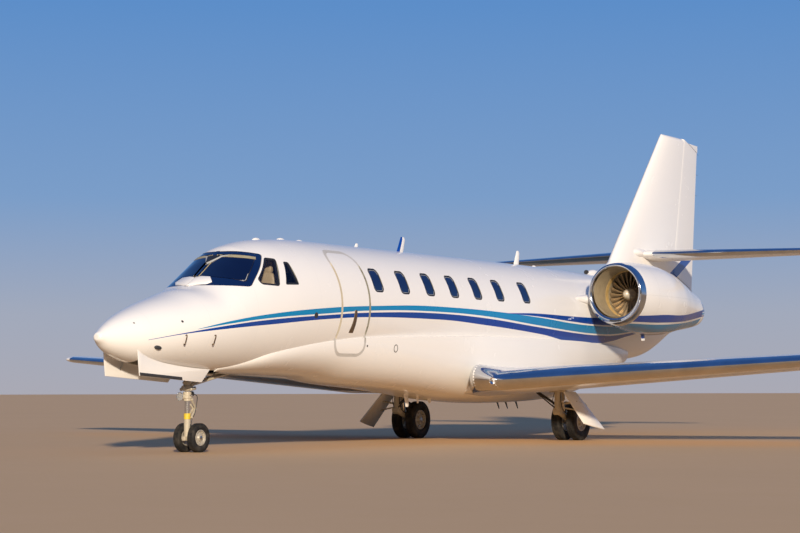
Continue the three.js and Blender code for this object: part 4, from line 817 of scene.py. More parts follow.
def nose_well(start, bottom, well_top, slot_top):
    well = Shape().box((-WELL_HALF, start, bottom), (WELL_HALF, WELL_END, well_top))
    return well.box((-SLOT_HALF, SLOT_START, bottom), (SLOT_HALF, SLOT_END, slot_top))


def fuselage():
    stations = sorted(set([*np.linspace(0, math.sqrt(1.5), 44) ** 2, *np.linspace(1.5, 3.4, 64),
                           *np.linspace(3.4, 12, 130), *np.linspace(12, 18.9, 90),
                           *(LENGTH - np.linspace(0.67, 0, 14) ** 2)]))
    skin = Shape().loft([body_ring(float(s), 144) for s in stations])
    cavity = Shape().loft([body_ring(s, 64, 0.03, 1.66) for s in body_stations(1.62, 11.86, 0.16)], 1)
    cavity.faces = [f[::-1] for f in cavity.faces]
    obj = raw_object("fuselage_skin", skin.merge(cavity), STRIPED, TRIM, WELL)
    openings = cuts_through([*WINDOWS, *SIDE_PANES]).merge(cuts_through([WINDSHIELD], 0.034))
    carve(obj, openings.merge(prism(grown(DOOR_EDGE, DOOR_SEAL))))
    carve(obj, nose_well(0.62, 0.9, 1.56, 1.3))
    settle(obj, nodes=["nose_shell", "cabin_shell", "tail_shell"])


def frame_ring(outer, inner, top, bottom, place=body_point):
    """A thin frame between two outlines, laid on a surface from one height over it to another."""
    return Shape().loft([[place(*a, top), place(*b, top), place(*b, bottom), place(*a, bottom)]
                         for a, b in zip(outer, inner)], loop=True)


def frames(kind, outlines, outer, inner, top, bottom, material, replaced=None):
    """Frames round some panes, between two offsets from their outlines."""
    shape = Shape()
    for outline in outlines:
        shape.merge(frame_ring(grown(outline, outer), grown(outline, inner), top, bottom))
    pair(kind, shape, material, replaced, slot="glass", sharp=60)


def pane(name, layer, material, outlines, x0=CUT_FROM):
    """The part of a layer of the skin that lies within some outlines."""
    obj = raw_object(name, skin_layer(*layer), material)
    carve(obj, cuts_through(outlines, x0), "INTERSECT")
    return obj


def panes():
    glassy = pane("cabin_panes", (5.1, 10.15, 0.006, 0.014), PANE, [grown(w, -0.025) for w in WINDOWS])
    settle(glassy, slot="glass")
    frames("cabin_window_seals", WINDOWS, 0.001, -0.026, -0.003, -0.03, BLACK_SEAL, "cabin_windows")
    frames("cabin_window_reveals", WINDOWS, -0.0262, -0.031, -0.0045, -0.012, SEAL)
    clear = pane("cockpit_side_glass", (2.3, 3.45, 0.008, 0.016, 160, 0.03), CLEAR,
                 [grown(p, -0.012) for p in SIDE_PANES])
    settle(clear, slot="glass", nodes=["cockpit_glass_left", "cockpit_glass_right"])
    frames("cockpit_seals", SIDE_PANES, 0.001, -0.016, -0.002, -0.03, BLACK_SEAL)
    frames("cockpit_borders", SIDE_PANES, -0.0162, -0.03, -0.006, -0.02, BLACK_SEAL)


def windshield():
    edge = pane("windshield_border", (1.6, 3.0, 0.004, 0.014, 200, 0.025), SCREEN_EDGE,
                [grown(WINDSHIELD, -0.003)], 0.036)
    carve(edge, cuts_through([grown(CLEAR_SCREEN, 0.001)], 0.06))
    settle(edge, slot="glass", nodes=["windshield_left", "windshield_right"])
    inset = [soften(grown(SCREEN_CORNERS, -far), SCREEN_ROUND) for far in (0.01, 0.0125, 0.0175)]
    clear = pane("windshield_panes", (1.8, 2.9, 0.004, 0.014, 200, 0.025), SCREEN, inset[:1], 0.062)
    settle(clear, slot="glass")
    frames("windshield_seal", [CLEAR_SCREEN], 0, -0.012, -0.001, -0.02, BLACK_SEAL)
    pair("windshield_line", frame_ring(inset[1], inset[2], 0.0, -0.02), SEAL, slot="glass", sharp=60)
    corners = ((0.043, -0.004), (0.043, 0.0015), (0.054, 0.0015), (0.054, -0.004))
    stations = np.linspace(2.045, 2.49, 14).tolist()
    rings = [[crown_point(x, s, out) for x, out in corners] for s in stations]
    pair("windshield_strip", Shape().loft(rings), GOLD, slot="glass")
    rings = []
    for t in np.linspace(0, 1, 9):
        upper = (2.49 + 0.245 * t, 2.795 - 0.039 * t)
        lower = (upper[0] - 0.035, upper[1] - 0.036)
        corners = ((upper, 0.0005), (lower, 0.0005), (lower, -0.006), (upper, -0.006))
        rings.append([body_point(*p, out) for p, out in corners])
    pair("windshield_shade", Shape().loft(rings), KHAKI, slot="glass")
    rings = []
    for station in np.linspace(1.84, 2.555, 24).tolist():
        crown = body_at(station)[0]
        half = [(0.036, crown - 0.03), (0.036, crown + 0.0005), (0.015, crown + 0.003)]
        rings.append([(x, station, z) for x, z in half] + [(-x, station, z) for x, z in half[::-1]])
    make("windshield_post", Shape().loft(rings), SCREEN_EDGE, slot="glass")


def cabin_door():
    obj = raw_object("cabin_door_panel", skin_layer(4.1, 5.2, 0.0, 0.05, 144, 0.05), STRIPED, TRIM)
    carve(obj, prism(DOOR_EDGE), "INTERSECT")
    settle(obj, "cabin_door", ["cabin_door"])
    foot = Shape().loft([fairing_ring(s) for s in body_stations(4.1, 5.2, 0.05)])
    foot = raw_object("cabin_door_foot", foot, PLAIN)
    carve(foot, prism(DOOR_EDGE), "INTERSECT")
    carve(foot, Shape().loft([body_ring(s, 96, 0.03) for s in body_stations(4.0, 5.3, 0.1)]))
    settle(foot, "cabin_door")
    seal = frame_ring(grown(DOOR_EDGE, DOOR_SEAL - 0.0005), grown(DOOR_EDGE, 0.0015), 0.0005, -0.03,
                      outer_point)
    make("cabin_door_seal", seal, DOOR_GREY, sharp=60)
    path = [(4.6, 2.05, 0.034), (4.604, 1.99, 0.04), (4.606, 1.93, 0.044), (4.6, 1.87, 0.048),
            (4.592, 1.815, 0.053), (4.582, 1.76, 0.058), (4.576, 1.715, 0.06)]
    rings = [[outer_point(s + half * share, z, out)
              for share, out in ((-1, -0.004), (1, -0.004), (0.8, 0.007), (-0.8, 0.007))]
             for s, z, half in path]
    make("cabin_door_handle", Shape().loft(rings), HANDLE, "cabin_door", slot="bright", bevel=0.002)


fuselage()
panes()
windshield()
cabin_door()


# Belly fairing

def belly_fairing():
    rings = [fairing_ring(s) for s in body_stations(2.15, 14.7, 0.11)]
    obj = raw_object("belly_fairing_skin", Shape().loft(rings), PLAIN, WELL)
    carve(obj, prism(grown(DOOR_EDGE, DOOR_SEAL)).merge(nose_well(1.9, 0.6, 1.5, 1.5)))
    settle(obj, nodes=["belly_fairing"])


belly_fairing()


# Wing and tail surfaces

def half_thickness(share, ratio):
    s = np.clip(share, 0, 1)
    return 5 * ratio * (0.2969 * np.sqrt(s) - 0.126 * s - 0.3516 * s ** 2 + 0.2843 * s ** 3 - 0.1036 * s ** 4)


SHARES = (1 - np.cos(np.linspace(0, math.pi, 34))) / 2
EDGE = 0.005


def skin_height(shape, share, ratio, chord):
    """Half the depth of a section at a share of its chord; the trailing edge is EDGE thick."""
    return float(shape(share, ratio)) * chord + EDGE / 2 * min(1, share * 8)


def section_ring(place):
    """A section's outline. A place holds its chord and thickness, and how to put (aft, up) into space."""
    chord, ratio, put = place["chord"], place["ratio"], place["put"]
    shape = place.get("shape", half_thickness)
    upper = [put(s * chord, skin_height(shape, s, ratio, chord)) for s in SHARES[::-1]]
    lower = [put(s * chord, -skin_height(shape, s, ratio, chord)) for s in SHARES[1:]]
    return upper + lower


def thinned(place, taper, least):
    """A section drawn flatter, as at a rounded tip."""
    return section_ring({**place, "ratio": place["ratio"] * max(taper, least)})


def quarter(steps):
    """The sine and cosine at equal steps over a quarter turn."""
    angles = [k / steps * math.pi / 2 for k in range(1, steps + 1)]
    return [(math.sin(a), math.cos(a)) for a in angles]


# Beside the fairing the wing's nose is blunt, and stands further aft and higher
CUFF = {"end": 1.2, "fade": 1.65, "inner": 0.8, "set_back": 0.205, "more": 0.62, "lift": 0.085,
        "nose": 0.085, "thickest": 0.3}


def cuff_thickness(share, ratio):
    if share >= CUFF["thickest"]:
        return half_thickness(share, ratio)
    ahead = 1 - min(share / CUFF["nose"], 1)
    return half_thickness(CUFF["thickest"], ratio) * math.sqrt(1 - ahead ** 2)


def clamped(value):
    return min(max(value, 0), 1)


def blend(table, key, share):
    """A measure between its value at the root and its value at the tip."""
    return table[f"root{key}"] + (table[f"tip{key}"] - table[f"root{key}"]) * share


def wing_place(x):
    front = WING["apex"] + WING["sweep"] * x
    height = WING["height"] + WING["dihedral"] * x
    chord = blend(WING, "", x / HALF_SPAN)
    cuff = clamped((CUFF["fade"] - x) / (CUFF["fade"] - CUFF["end"]))
    back = CUFF["set_back"] + CUFF["more"] * clamped((CUFF["end"] - x) / (CUFF["end"] - CUFF["inner"]))

    def put(along, up):
        fading = cuff * max(1 - along / (chord / 2), 0)
        return (x, front + along + back * fading, height + up + CUFF["lift"] * fading)

    def shape(at, thick):
        return (1 - cuff) * float(half_thickness(at, thick)) + cuff * float(cuff_thickness(at, thick))

    return {"chord": chord, "ratio": blend(WING, "_thick", x / HALF_SPAN), "front": front, "put": put,
            "shape": shape}


TAIL = {"apex": 15.9, "sweep": 0.25, "root": 2.15, "tip": 1.0, "half": 4.25, "height": 3.59, "thick": 0.1}


def tail_place(x):
    front = TAIL["apex"] + TAIL["sweep"] * abs(x)
    return {"chord": blend(TAIL, "", abs(x) / TAIL["half"]), "ratio": TAIL["thick"], "front": front,
            "put": lambda a, u: (x, front + a, TAIL["height"] + u)}


FIN = {"low": 3.38, "low_front": 14.914, "top_front": 17.37, "thick": 0.1}
RUDDER = {"hinge": 17.64, "hinge_z": 3.3, "lean": 0.2566, "bottom": 3.285, "low_rear": 18.88,
          "top_rear": 19.215}


def fin_place(z):
    climb = (z - FIN["low"]) / (FIN_TOP - FIN["low"])
    front = FIN["low_front"] + (FIN["top_front"] - FIN["low_front"]) * climb
    trail = (z - RUDDER["bottom"]) / (FIN_TOP - RUDDER["bottom"])
    rear = RUDDER["low_rear"] + (RUDDER["top_rear"] - RUDDER["low_rear"]) * trail
    return {"chord": rear - front, "ratio": FIN["thick"], "front": front,
            "put": lambda a, u: (u, front + a, z)}


def rudder_hinge_share(z):
    place = fin_place(z)
    hinge = RUDDER["hinge"] + RUDDER["lean"] * (z - RUDDER["hinge_z"])
    return (hinge - place["front"]) / place["chord"]


class Hinge:
    """The line that a surface turns on, with the directions along, aft and up of it."""

    def __init__(self, place_at, start, end, share_at):
        self.ends = []
        for span in (start, end):
            place, share = place_at(span), share_at(span)
            radius = skin_height(half_thickness, share, place["ratio"], place["chord"])
            self.ends.append((place, share, radius, Vector(place["put"](share * place["chord"], 0))))
        self.axis = (self.ends[1][3] - self.ends[0][3]).normalized()
        aft = Vector(AFT)
        aft -= self.axis * aft.dot(self.axis)
        self.slant = aft.length
        self.aft = aft.normalized()
        put = self.ends[0][0]["put"]
        up = self.axis.cross(self.aft)
        self.up = up if up.dot(Vector(put(0, 1)) - Vector(put(0, 0))) > 0 else -up

    def ring(self, centre, radius, rest, steps=14):
        """The round nose of a surface, and then the rest of its outline as (aft, up)."""
        angles = [math.pi * (0.5 + k / steps) for k in range(steps + 1)]
        flat = [(radius * math.cos(a), radius * math.sin(a)) for a in angles] + rest
        return [centre + self.aft * a + self.up * u for a, u in flat]

    def surface(self):
        rings = []
        for place, share, radius, centre in self.ends:
            rear = [((s - share) * place["chord"] * self.slant,
                     float(half_thickness(s, place["ratio"])) * place["chord"] + EDGE / 2)
                    for s in np.linspace(share, 1, 12)[1:]]
            rings.append(self.ring(centre, radius, [(a, -t) for a, t in rear] + rear[::-1]))
        return Shape().loft(rings)

    def pocket(self, gap=0.008):
        rings = []
        for push, (place, _, radius, centre) in zip((-gap, gap), self.ends):
            rest = [(0, -0.4), (place["chord"], -0.4), (place["chord"], 0.4), (0, 0.4)]
            rings.append(self.ring(centre + self.axis * push, radius + gap, rest))
        return Shape().loft(rings)


FLAP = Hinge(wing_place, 1.26, 6.25, lambda x: 0.8)
AILERON = Hinge(wing_place, 6.29, 9.15, lambda x: 0.76)
ELEVATOR_SHARE = 0.66
ELEVATOR = Hinge(tail_place, 0.36, 4.13, lambda x: ELEVATOR_SHARE)
RUDDER_LINE = Hinge(fin_place, RUDDER["bottom"], FIN_TOP - 0.02, rudder_hinge_share)


def leading_edge(place_at, spans, share=0.09, out=0.0012, back=0.004):
    """A thin polished skin wrapped round the front of a wing or tailplane."""
    rings = []
    for span in spans:
        place = place_at(span)
        chord, shape = place["chord"], place.get("shape", half_thickness)
        line = []
        for t in np.linspace(-1, 1, 27):
            at = share * t * t
            thick = skin_height(shape, at, place["ratio"], chord)
            line.append(Vector(place["put"](at * chord, math.copysign(thick, t))))
        centre = (line[0] + line[-1]) / 2
        across = (line[6] - centre).cross(line[-7] - centre)
        outer, inner = [], []
        for before, p, after in zip(line[:1] + line, line, line[1:] + line[-1:]):
            push = (after - before).cross(across).normalized()
            if push.dot(p - centre) < 0:
                push = -push
            outer.append(p + push * out)
            inner.append(p - push * back)
        rings.append(outer + inner[::-1])
    return Shape().loft(rings)


def wings():
    spans = (0.3, 0.85, 0.95, 1.05, 1.13, 1.2, 1.3, 1.4, 1.5, 1.58, 1.65, 2, 3, 4, 5, 6.3, 7.5, 8.6, 9.15,
             9.4, 9.5)
    rings = [section_ring(wing_place(x)) for x in spans]
    rings += [wing_tip_ring(9.5 + 0.15 * s, c) for s, c in quarter(8)]
    for name, side in SIDES:
        obj = raw_object(f"wing_skin_{name}", Shape().loft(rings).on(side), WING_PAINT, DARK)
        carve(obj, FLAP.pocket().merge(AILERON.pocket()).on(side))
        settle(obj, nodes=[f"wing_{name}"])
    pair("flap_skin", FLAP.surface(), WING_PAINT, "flap", "flap")
    pair("aileron_skin", AILERON.surface(), WING_PAINT, "aileron", "aileron")
    edge = leading_edge(wing_place, [*np.linspace(0.8, 1.66, 14), *np.linspace(1.9, 9.42, 34)])
    pair("wing_leading_edge", edge, POLISHED, slot="bright", sharp=70)


def wing_tip_ring(x, taper):
    """Sections past the last rib draw in to the rounded tip."""
    place = wing_place(min(x, HALF_SPAN))
    chord = place["chord"]
    back = chord * 0.42 * (1 - taper) ** 1.5
    front, height = place["front"] + back, WING["height"] + WING["dihedral"] * x
    length = chord - back - 0.02 * (1 - taper)
    return section_ring({"put": lambda a, u: (x, front + a, height + u), "chord": length,
                         "ratio": place["ratio"] * max(taper, 0.04) * chord / length})


def tail_surfaces():
    rib = TAIL["half"] - 0.1
    rings = [section_ring(tail_place(x)) for x in np.linspace(0, rib, 14)]
    rings += [thinned(tail_place(rib + 0.1 * s), c, 0.05) for s, c in quarter(6)]
    mirrored = [[(-x, s, z) for x, s, z in ring] for ring in rings[:0:-1]]
    obj = raw_object("tailplane_skin", Shape().loft(mirrored + rings), PLAIN, DARK)
    carve(obj, both(ELEVATOR.pocket()))
    hinge = tail_place(0)["front"] + TAIL["root"] * ELEVATOR_SHARE
    carve(obj, Shape().box((-0.36, hinge, 3.2), (0.36, 19.3, 4.0)))
    settle(obj, nodes=["tailplane"])
    pair("elevator_skin", ELEVATOR.surface(), PLAIN, "elevator", "elevator")
    edge = leading_edge(tail_place, np.linspace(0.42, TAIL["half"] - 0.12, 24))
    pair("tailplane_leading_edge", edge, POLISHED, slot="bright", sharp=70)


# The fin's fillet, as height and station of its front
FILLET = (
    (2.7, 13.75), (3.02, 13.8), (3.05, 13.86), (3.08, 13.96), (3.12, 14.14), (3.17, 14.36), (3.24, 14.62),
    (3.31, 14.8), (3.38, 14.925), (3.47, 15.0)
)


def fin_and_rudder():
    root = fin_place(FIN["low"])
    base_rear = root["front"] + root["chord"]
    rings = []
    for z, front in FILLET:
        chord = base_rear - front + (z - FIN["low"]) * 0.115
        rings.append(section_ring({"put": lambda a, u: (u, front + a, z), "chord": chord,
                                   "ratio": root["ratio"] * root["chord"] / chord}))
    rings += [section_ring(fin_place(float(z))) for z in np.linspace(3.6, 6.12, 16)]
    rings += [thinned(fin_place(6.12 + 0.08 * s), c, 0.05) for s, c in quarter(5)]
    obj = raw_object("fin_skin", Shape().loft(rings), FIN_PAINT, DARK)
    carve(obj, RUDDER_LINE.pocket())
    top_hinge = RUDDER["hinge"] + RUDDER["lean"] * (FIN_TOP - RUDDER["hinge_z"])
    carve(obj, Shape().box((-0.4, top_hinge, FIN_TOP - 0.07), (0.4, 19.6, 6.4)))
    settle(obj, nodes=["fin"])
    make("rudder_skin", RUDDER_LINE.surface(), FIN_PAINT, "rudder", ["rudder"])


wings()
tail_surfaces()
fin_and_rudder()


# Engines

NACELLE = [
    (0, 0.5, 0.52, 2.6, 1.54), (0.025, 0.532, 0.548, 2.592, 1.54), (0.09, 0.552, 0.565, 2.586, 1.54),
    (0.22, 0.568, 0.582, 2.58, 1.54), (0.7, 0.598, 0.628, 2.555, 1.535), (1.3, 0.605, 0.652, 2.525, 1.525),
    (1.9, 0.57, 0.61, 2.5, 1.5), (2.5, 0.48, 0.505, 2.47, 1.465), (3.0, 0.395, 0.41, 2.44, 1.43),
    (3.42, 0.338, 0.345, 2.415, 1.4)
]
DUCT = [
    (0, 0.492, 2.605, 1.54), (0.06, 0.458, 2.618, 1.54), (0.15, 0.442, 2.626, 1.54),
    (0.3, 0.437, 2.616, 1.54), (0.58, 0.432, 2.6, 1.54), (0.84, 0.432, 2.6, 1.54), (1.2, 0.47, 2.56, 1.53),
    (2.2, 0.45, 2.485, 1.48), (3.42, 0.31, 2.415, 1.4)
]
LIP_STATION = 12.06
FAN_BLADES = 24
FAN_CENTRE = Vector((1.54, 12.7, 2.6))
nacelle_at = smooth_columns(NACELLE, lambda s: np.sqrt(s + 1e-9))
duct_at = smooth_columns(DUCT)


def oval(x, station, z, half, tall, sides):
    return [(x + half * c, station, z + tall * s) for c, s in turns(sides)]


def nacelle_ring(aft, out=0.0, sides=120):
    half, tall, z, x = nacelle_at(aft)
    return oval(x, LIP_STATION + aft, z, half + out, tall + out, sides)


def duct_ring(aft, out=0.0, sides=120):
    radius, z, x = duct_at(aft)
    return oval(x, LIP_STATION + aft, z, radius + out, radius + out, sides)


def lip_rings(sides=120):
    """The polished lip's section, from behind its outside round the front to behind its inside."""
    rings = [nacelle_ring(a, 0, sides) for a in np.linspace(0.1597, 0.05, 8)]
    outer, inner = np.array(nacelle_ring(0.05, 0, sides)), np.array(duct_ring(0.06, 0, sides))
    for k in range(1, 12):
        turn = k / 12 * math.pi
        inward = (1 - math.cos(turn)) / 2
        ring = outer * (1 - inward) + inner * inward
        ring[:, 1] = LIP_STATION + 0.055 - 0.055 * math.sin(turn)
        rings.append([tuple(p) for p in ring])
    rings += [duct_ring(a, 0, sides) for a in np.linspace(0.06, 0.0757, 3)]
    rings += [duct_ring(a, 0.012, sides) for a in (0.0757, 0.1597)]
    return rings


def engines():
    pair("inlet_lip_skin", Shape().loft(lip_rings(), loop=True), POLISHED, "inlet_lip", slot="bright",
         sharp=60)
    outer = [nacelle_ring(float(a)) for a in np.linspace(0.1612, 3.42, 60)]
    inner = [duct_ring(float(a)) for a in np.linspace(3.42, 0.077, 50)]
    inner += [duct_ring(a, 0.011) for a in (0.077, 0.1612)]
    cowl = Shape().loft(outer + inner, loop=True)
    outside = (len(outer) - 1) * len(outer[0])
    cowl.slots = [int(min(face) >= outside) for face in cowl.faces]
    pair("cowl", cowl, [COWL, LINER], "nacelle", sharp=50)
    hub = Shape().lathe([(0, -0.215), (0.022, -0.211), (0.047, -0.195), (0.072, -0.162), (0.09, -0.118),
                         (0.102, -0.066), (0.108, -0.01), (0.109, 0.04), (0.109, 0.11), (0.06, 0.12),
                         (0.06, 0.19), (0, 0.19)], FAN_CENTRE, AFT, 64)
    pair("fan_spinner", hub, SPINNER_LIT, body="fan", slot="fan")
    blades = Shape()
    for k in range(FAN_BLADES):
        blades.merge(fan_blade(2 * math.pi * k / FAN_BLADES))
    pair("fan_blades", blades, TITANIUM, "fan", "fan", slot="fan", sharp=50)
    ring = Shape().lathe([(0.4265, 0.02), (0.4305, 0.02), (0.4305, 0.115), (0.422, 0.115), (0.422, 0.06)],
                         FAN_CENTRE - Vector((0, 0.16, 0)), AFT, 96)
    pair("fan_case_ring", ring, CASE_RING, slot="fan", sharp=50)
    core()
    pylon()
    drains()


def fan_blade(turn):
    """One blade: a thin curved section that twists and sweeps from root to tip."""
    chord_steps = np.linspace(-0.5, 0.5, 7)
    outline = [(c, 1) for c in chord_steps] + [(c, -1) for c in chord_steps[-2:0:-1]]
    rings = []
    for t in np.linspace(0, 1, 9):
        radius = 0.095 + (0.418 - 0.095) * t
        chord = 0.085 + 0.05 * t
        twist = 0.4 + 0.5 * t
        lean = 0.018 * math.sin(t * math.pi)
        ring = []
        for u, v in outline:
            thick = (0.0055 - 0.003 * t) * (1 - (2 * u) ** 2) ** 0.5 * v + 0.01 * (1 - (2 * u) ** 2)
            axial = u * chord * math.cos(twist) - thick * math.sin(twist) + lean * 0.4
            across = u * chord * math.sin(twist) + thick * math.cos(twist) + lean
            ring.append((FAN_CENTRE.x + radius * math.cos(turn) - across * math.sin(turn),
                         FAN_CENTRE.y + 0.05 + axial,
                         FAN_CENTRE.z + radius * math.sin(turn) + across * math.cos(turn)))
        rings.append(ring)
    return Shape().loft(rings)


def core():
    profile = [(0, 0.195), (0.15, 0.195), (0.22, 0.3), (0.25, 0.42), (0.285, 0.6), (0.3, 0.8), (0.3, 1.5),
               (0.27, 1.66), (0.24, 1.75), (0.15, 2.1), (0.06, 2.38), (0, 2.45)]
    body = Shape().lathe(profile, (0, 0, 0), AFT, 64)
    body.points = [(x + FAN_CENTRE.x - 0.05 * s, s + FAN_CENTRE.y, z + FAN_CENTRE.z - 0.062 * s)
                   for x, s, z in body.points]
    for c, n in turns(12, 0.5):
        body.loft([[(1.52 + r * c - t * n, FAN_CENTRE.y + 0.44 + a, 2.575 + r * n + t * c)
                    for a, t in ((-0.07, 0), (0, 0.008), (0.09, 0), (0, -0.008))] for r in (0.24, 0.43)])
    pair("engine_core_skin", body, HOT_METAL, "engine_core", slot="core")


# Columns: X, station of the front edge and of the rear edge
PYLON = ((0.5, 11.7, 15.35), (0.9, 11.75, 15.33), (1.0, 12.25, 15.3), (1.5, 12.5, 15.25))
PYLON_HEIGHT, PYLON_THICK = 2.5, 0.214


def pylon():
    xs, fronts, rears = zip(*PYLON)
    rings = []
    for x in (0.5, 0.7, 0.82, 0.88, 0.905, 0.925, 0.95, 0.975, 1.0, 1.03, 1.06):
        front, rear = float(np.interp(x, xs, fronts)), float(np.interp(x, xs, rears))
        chord = rear - front
        rings.append(section_ring({"chord": chord, "ratio": PYLON_THICK / chord,
                                   "put": lambda a, u: (x, front + a, PYLON_HEIGHT + u)}))
    pair("pylon_skin", Shape().loft(rings), PLAIN, "pylon")


def drains():
    """The drain slot under the inlet lip, drawn as dark patches of painted shade, and the drain mast under
    the cowl.
    """
    # Dark patches laid on the lip's underside: painted shade where the slot is.
    chosen = [ring[172:191] for ring in lip_rings(240)[12:15]]
    slot_shade = Shape()
    for low, high in zip(chosen, chosen[1:]):
        for corners in zip(low, low[1:], high[1:], high):
            slot_shade.loft([[Vector(c) + Vector((0, d, d)) for c in corners] for d in (-0.0015, 0.003)])
    pair("lip_slot_shade", slot_shade, DARK, slot="panel")
    mast = Shape()
    for low, high, slot in ((1.765, 1.81, 1), (1.805, 1.905, 0)):
        mast.loft([[(1.5 + u, 13.2 + a + (1.9 - z) * 0.25, z) for a, u in blade_outline(chord, 0.018)]
                   for z, chord in ((low, 0.15), (high, 0.17))], slot)
    pair("drain_mast", mast, [NAVY, PLAIN], bevel=0.002)


def blade_outline(chord, thick):
    """A lens-shaped section as (along, across)."""
    upper = [(chord * t, thick / 2 * math.sin(math.pi * t) ** 0.8) for t in np.linspace(0, 1, 9)]
    return upper + [(a, -u) for a, u in upper[1:-1][::-1]]


engines()


# Aerials, lamps and small fittings on the skin

def blade(station, foot, chord, height, thick, rake=0.45, taper=0.55):
    """A swept blade that stands up or hangs down from the skin."""
    rings = []
    for t in np.linspace(0, 1, 7):
        c = chord * (1 - (1 - taper) * t ** 1.4) * (0.8 if t == 1 else 1)
        front = station + abs(height) * rake * t
        width = thick * (1 - 0.35 * t) * (0.5 if t == 1 else 1)
        rings.append([(u, front + a, foot + height * t) for a, u in blade_outline(c, width)])
    return Shape().loft(rings)


def aerials():
    first, tall, last = (blade(s, body_at(s)[0] - 0.01, *sizes) for s, sizes in (
        (5.99, (0.11, 0.075, 0.02, 0.75)), (7.22, (0.2, 0.263, 0.034, 0.5, 0.7)),
        (11.09, (0.19, 0.27, 0.034))))
    tall.slots = [int(k % 16 in (0, 1, 2, 13, 14, 15)) for k in range(len(tall.faces))]
    make("crown_aerials", first.merge(tall).merge(last), [PLAIN, NAVY], bevel=0.0015)
    bumps = Shape()
    for s, *sizes in ((3.453, 0.2, 0.07, 0.035), (4.049, 0.22, 0.08, 0.035), (4.524, 0.2, 0.07, 0.028),
                      (11.85, 0.18, 0.07, 0.04)):
        bumps.merge(dome((0, s, body_at(s)[0] - 0.006), *sizes))
    make("crown_domes", bumps, PLAIN)
    belly = Shape()
    for sizes in ((7.43, 0.8, 0.13, -0.215, 0.024, 0.3, 0.75), (7.8, 0.76, 0.08, -0.117, 0.017, 0.35, 0.7),
                  (8.16, 0.73, 0.11, -0.085, 0.018, 0.4, 0.7)):
        belly.merge(blade(*sizes))
    make("belly_aerials", belly, PLAIN, bevel=0.001)
    dark = Shape()
    for s in (10.43, 10.73, 11.1):
        dark.merge(blade(s, 0.67, 0.07, -0.145, 0.014, 0.75, 0.5))
    make("belly_drain_fins", dark, DARK, slot="panel", bevel=0.001)


def dome(centre, long, wide, tall):
    """A low streamlined bump."""
    x, s, z = centre
    rings = []
    for t in np.linspace(0.02, 0.98, 13):
        size = math.sin(math.pi * t) ** 0.7
        half, along = wide / 2 * size, s + long * (t - 0.5)
        ring = [(x + half * math.cos(a), along, z + tall * size * math.sin(a))
                for a in np.linspace(0, math.pi, 11)]
        ring += [(x + half * math.cos(a), along, z - 0.01) for a in np.linspace(math.pi, 0, 6)[1:-1]]
        rings.append(ring)
    return Shape().loft(rings)


def skin_disc(station, height, radius, out):
    """A round patch that lies on the fuselage's side."""
    return Shape().loft([[body_point(station + radius * c, height + radius * s, lift) for c, s in turns(24)]
                         for lift in (-0.01, out)])


def skin_details():
    dark = Shape()
    for patch in ((3.628, 1.944, 0.042, 0.003), (1.06, 1.788, 0.016, 0.002), (0.436, 1.756, 0.009, 0.002)):
        dark.merge(skin_disc(*patch))
    pair("skin_ports", dark, DARK, slot="panel")
    edge = [(5.755 + 0.052 * c, 1.5 + 0.062 * s) for c, s in turns(32)]
    port = frame_ring(edge, grown(edge, -0.012), 0.002, -0.004, outer_point)
    spot = [(5.03 + 0.016 * c, 1.526 + 0.016 * s) for c, s in turns(16)]
    port.loft([[outer_point(*p, out) for p in spot] for out in (-0.01, 0.002)])
    pair("service_port", port, DARK, slot="panel", sharp=50)
    for name, side in SIDES:
        probes = Shape()
        for top, (s, z) in (((1.098, 1.6), (1.084, 1.498)), ((1.585, 1.608), (1.569, 1.506))):
            probes.hose([body_point(*top, -0.004, side), body_point(*top, 0.022, side),
                         body_point(s, z, 0.036, side), body_point(s - 0.02, z, 0.036, side)], 0.008, 12)
        make(f"air_probes_{name}", probes, PROBE, slot="bright")
        scoop = dome((0, 0, 0), 0.15, 0.07, 0.035)
        centre = body_point(0.737, 1.435, -0.002, side)
        scoop.points = [(centre.x + side * (z * 0.9), centre.y + s, centre.z + x * 0.9 - z * 0.35)
                        for x, s, z in scoop.points]
        make(f"nose_scoop_{name}", scoop, DARK, slot="panel")
    rain_fairing()


def rain_fairing():
    """The low white fairing at the foot of each windshield pane."""
    outline = [(0.004, 1.846), (0.087, 1.878), (0.272, 1.941), (0.33, 2.003), (0.249, 2.067), (0.103, 2.052),
               (0.004, 2.03)]
    low = [crown_point(x, s, -0.02) for x, s in outline]
    high = [(x, s - 0.002, crown_point(x, s, 0.01)[2]) for x, s in outline]
    centre = np.mean(high, axis=0)
    cap = [tuple(np.array(p) * 0.78 + centre * 0.22 + np.array((0, -0.004, 0.01))) for p in high]
    pair("rain_fairing", Shape().loft([low, high, cap]), PLAIN)


WICK = {"radius": 0.0035, "sides": 8, "tip": 0.0015}


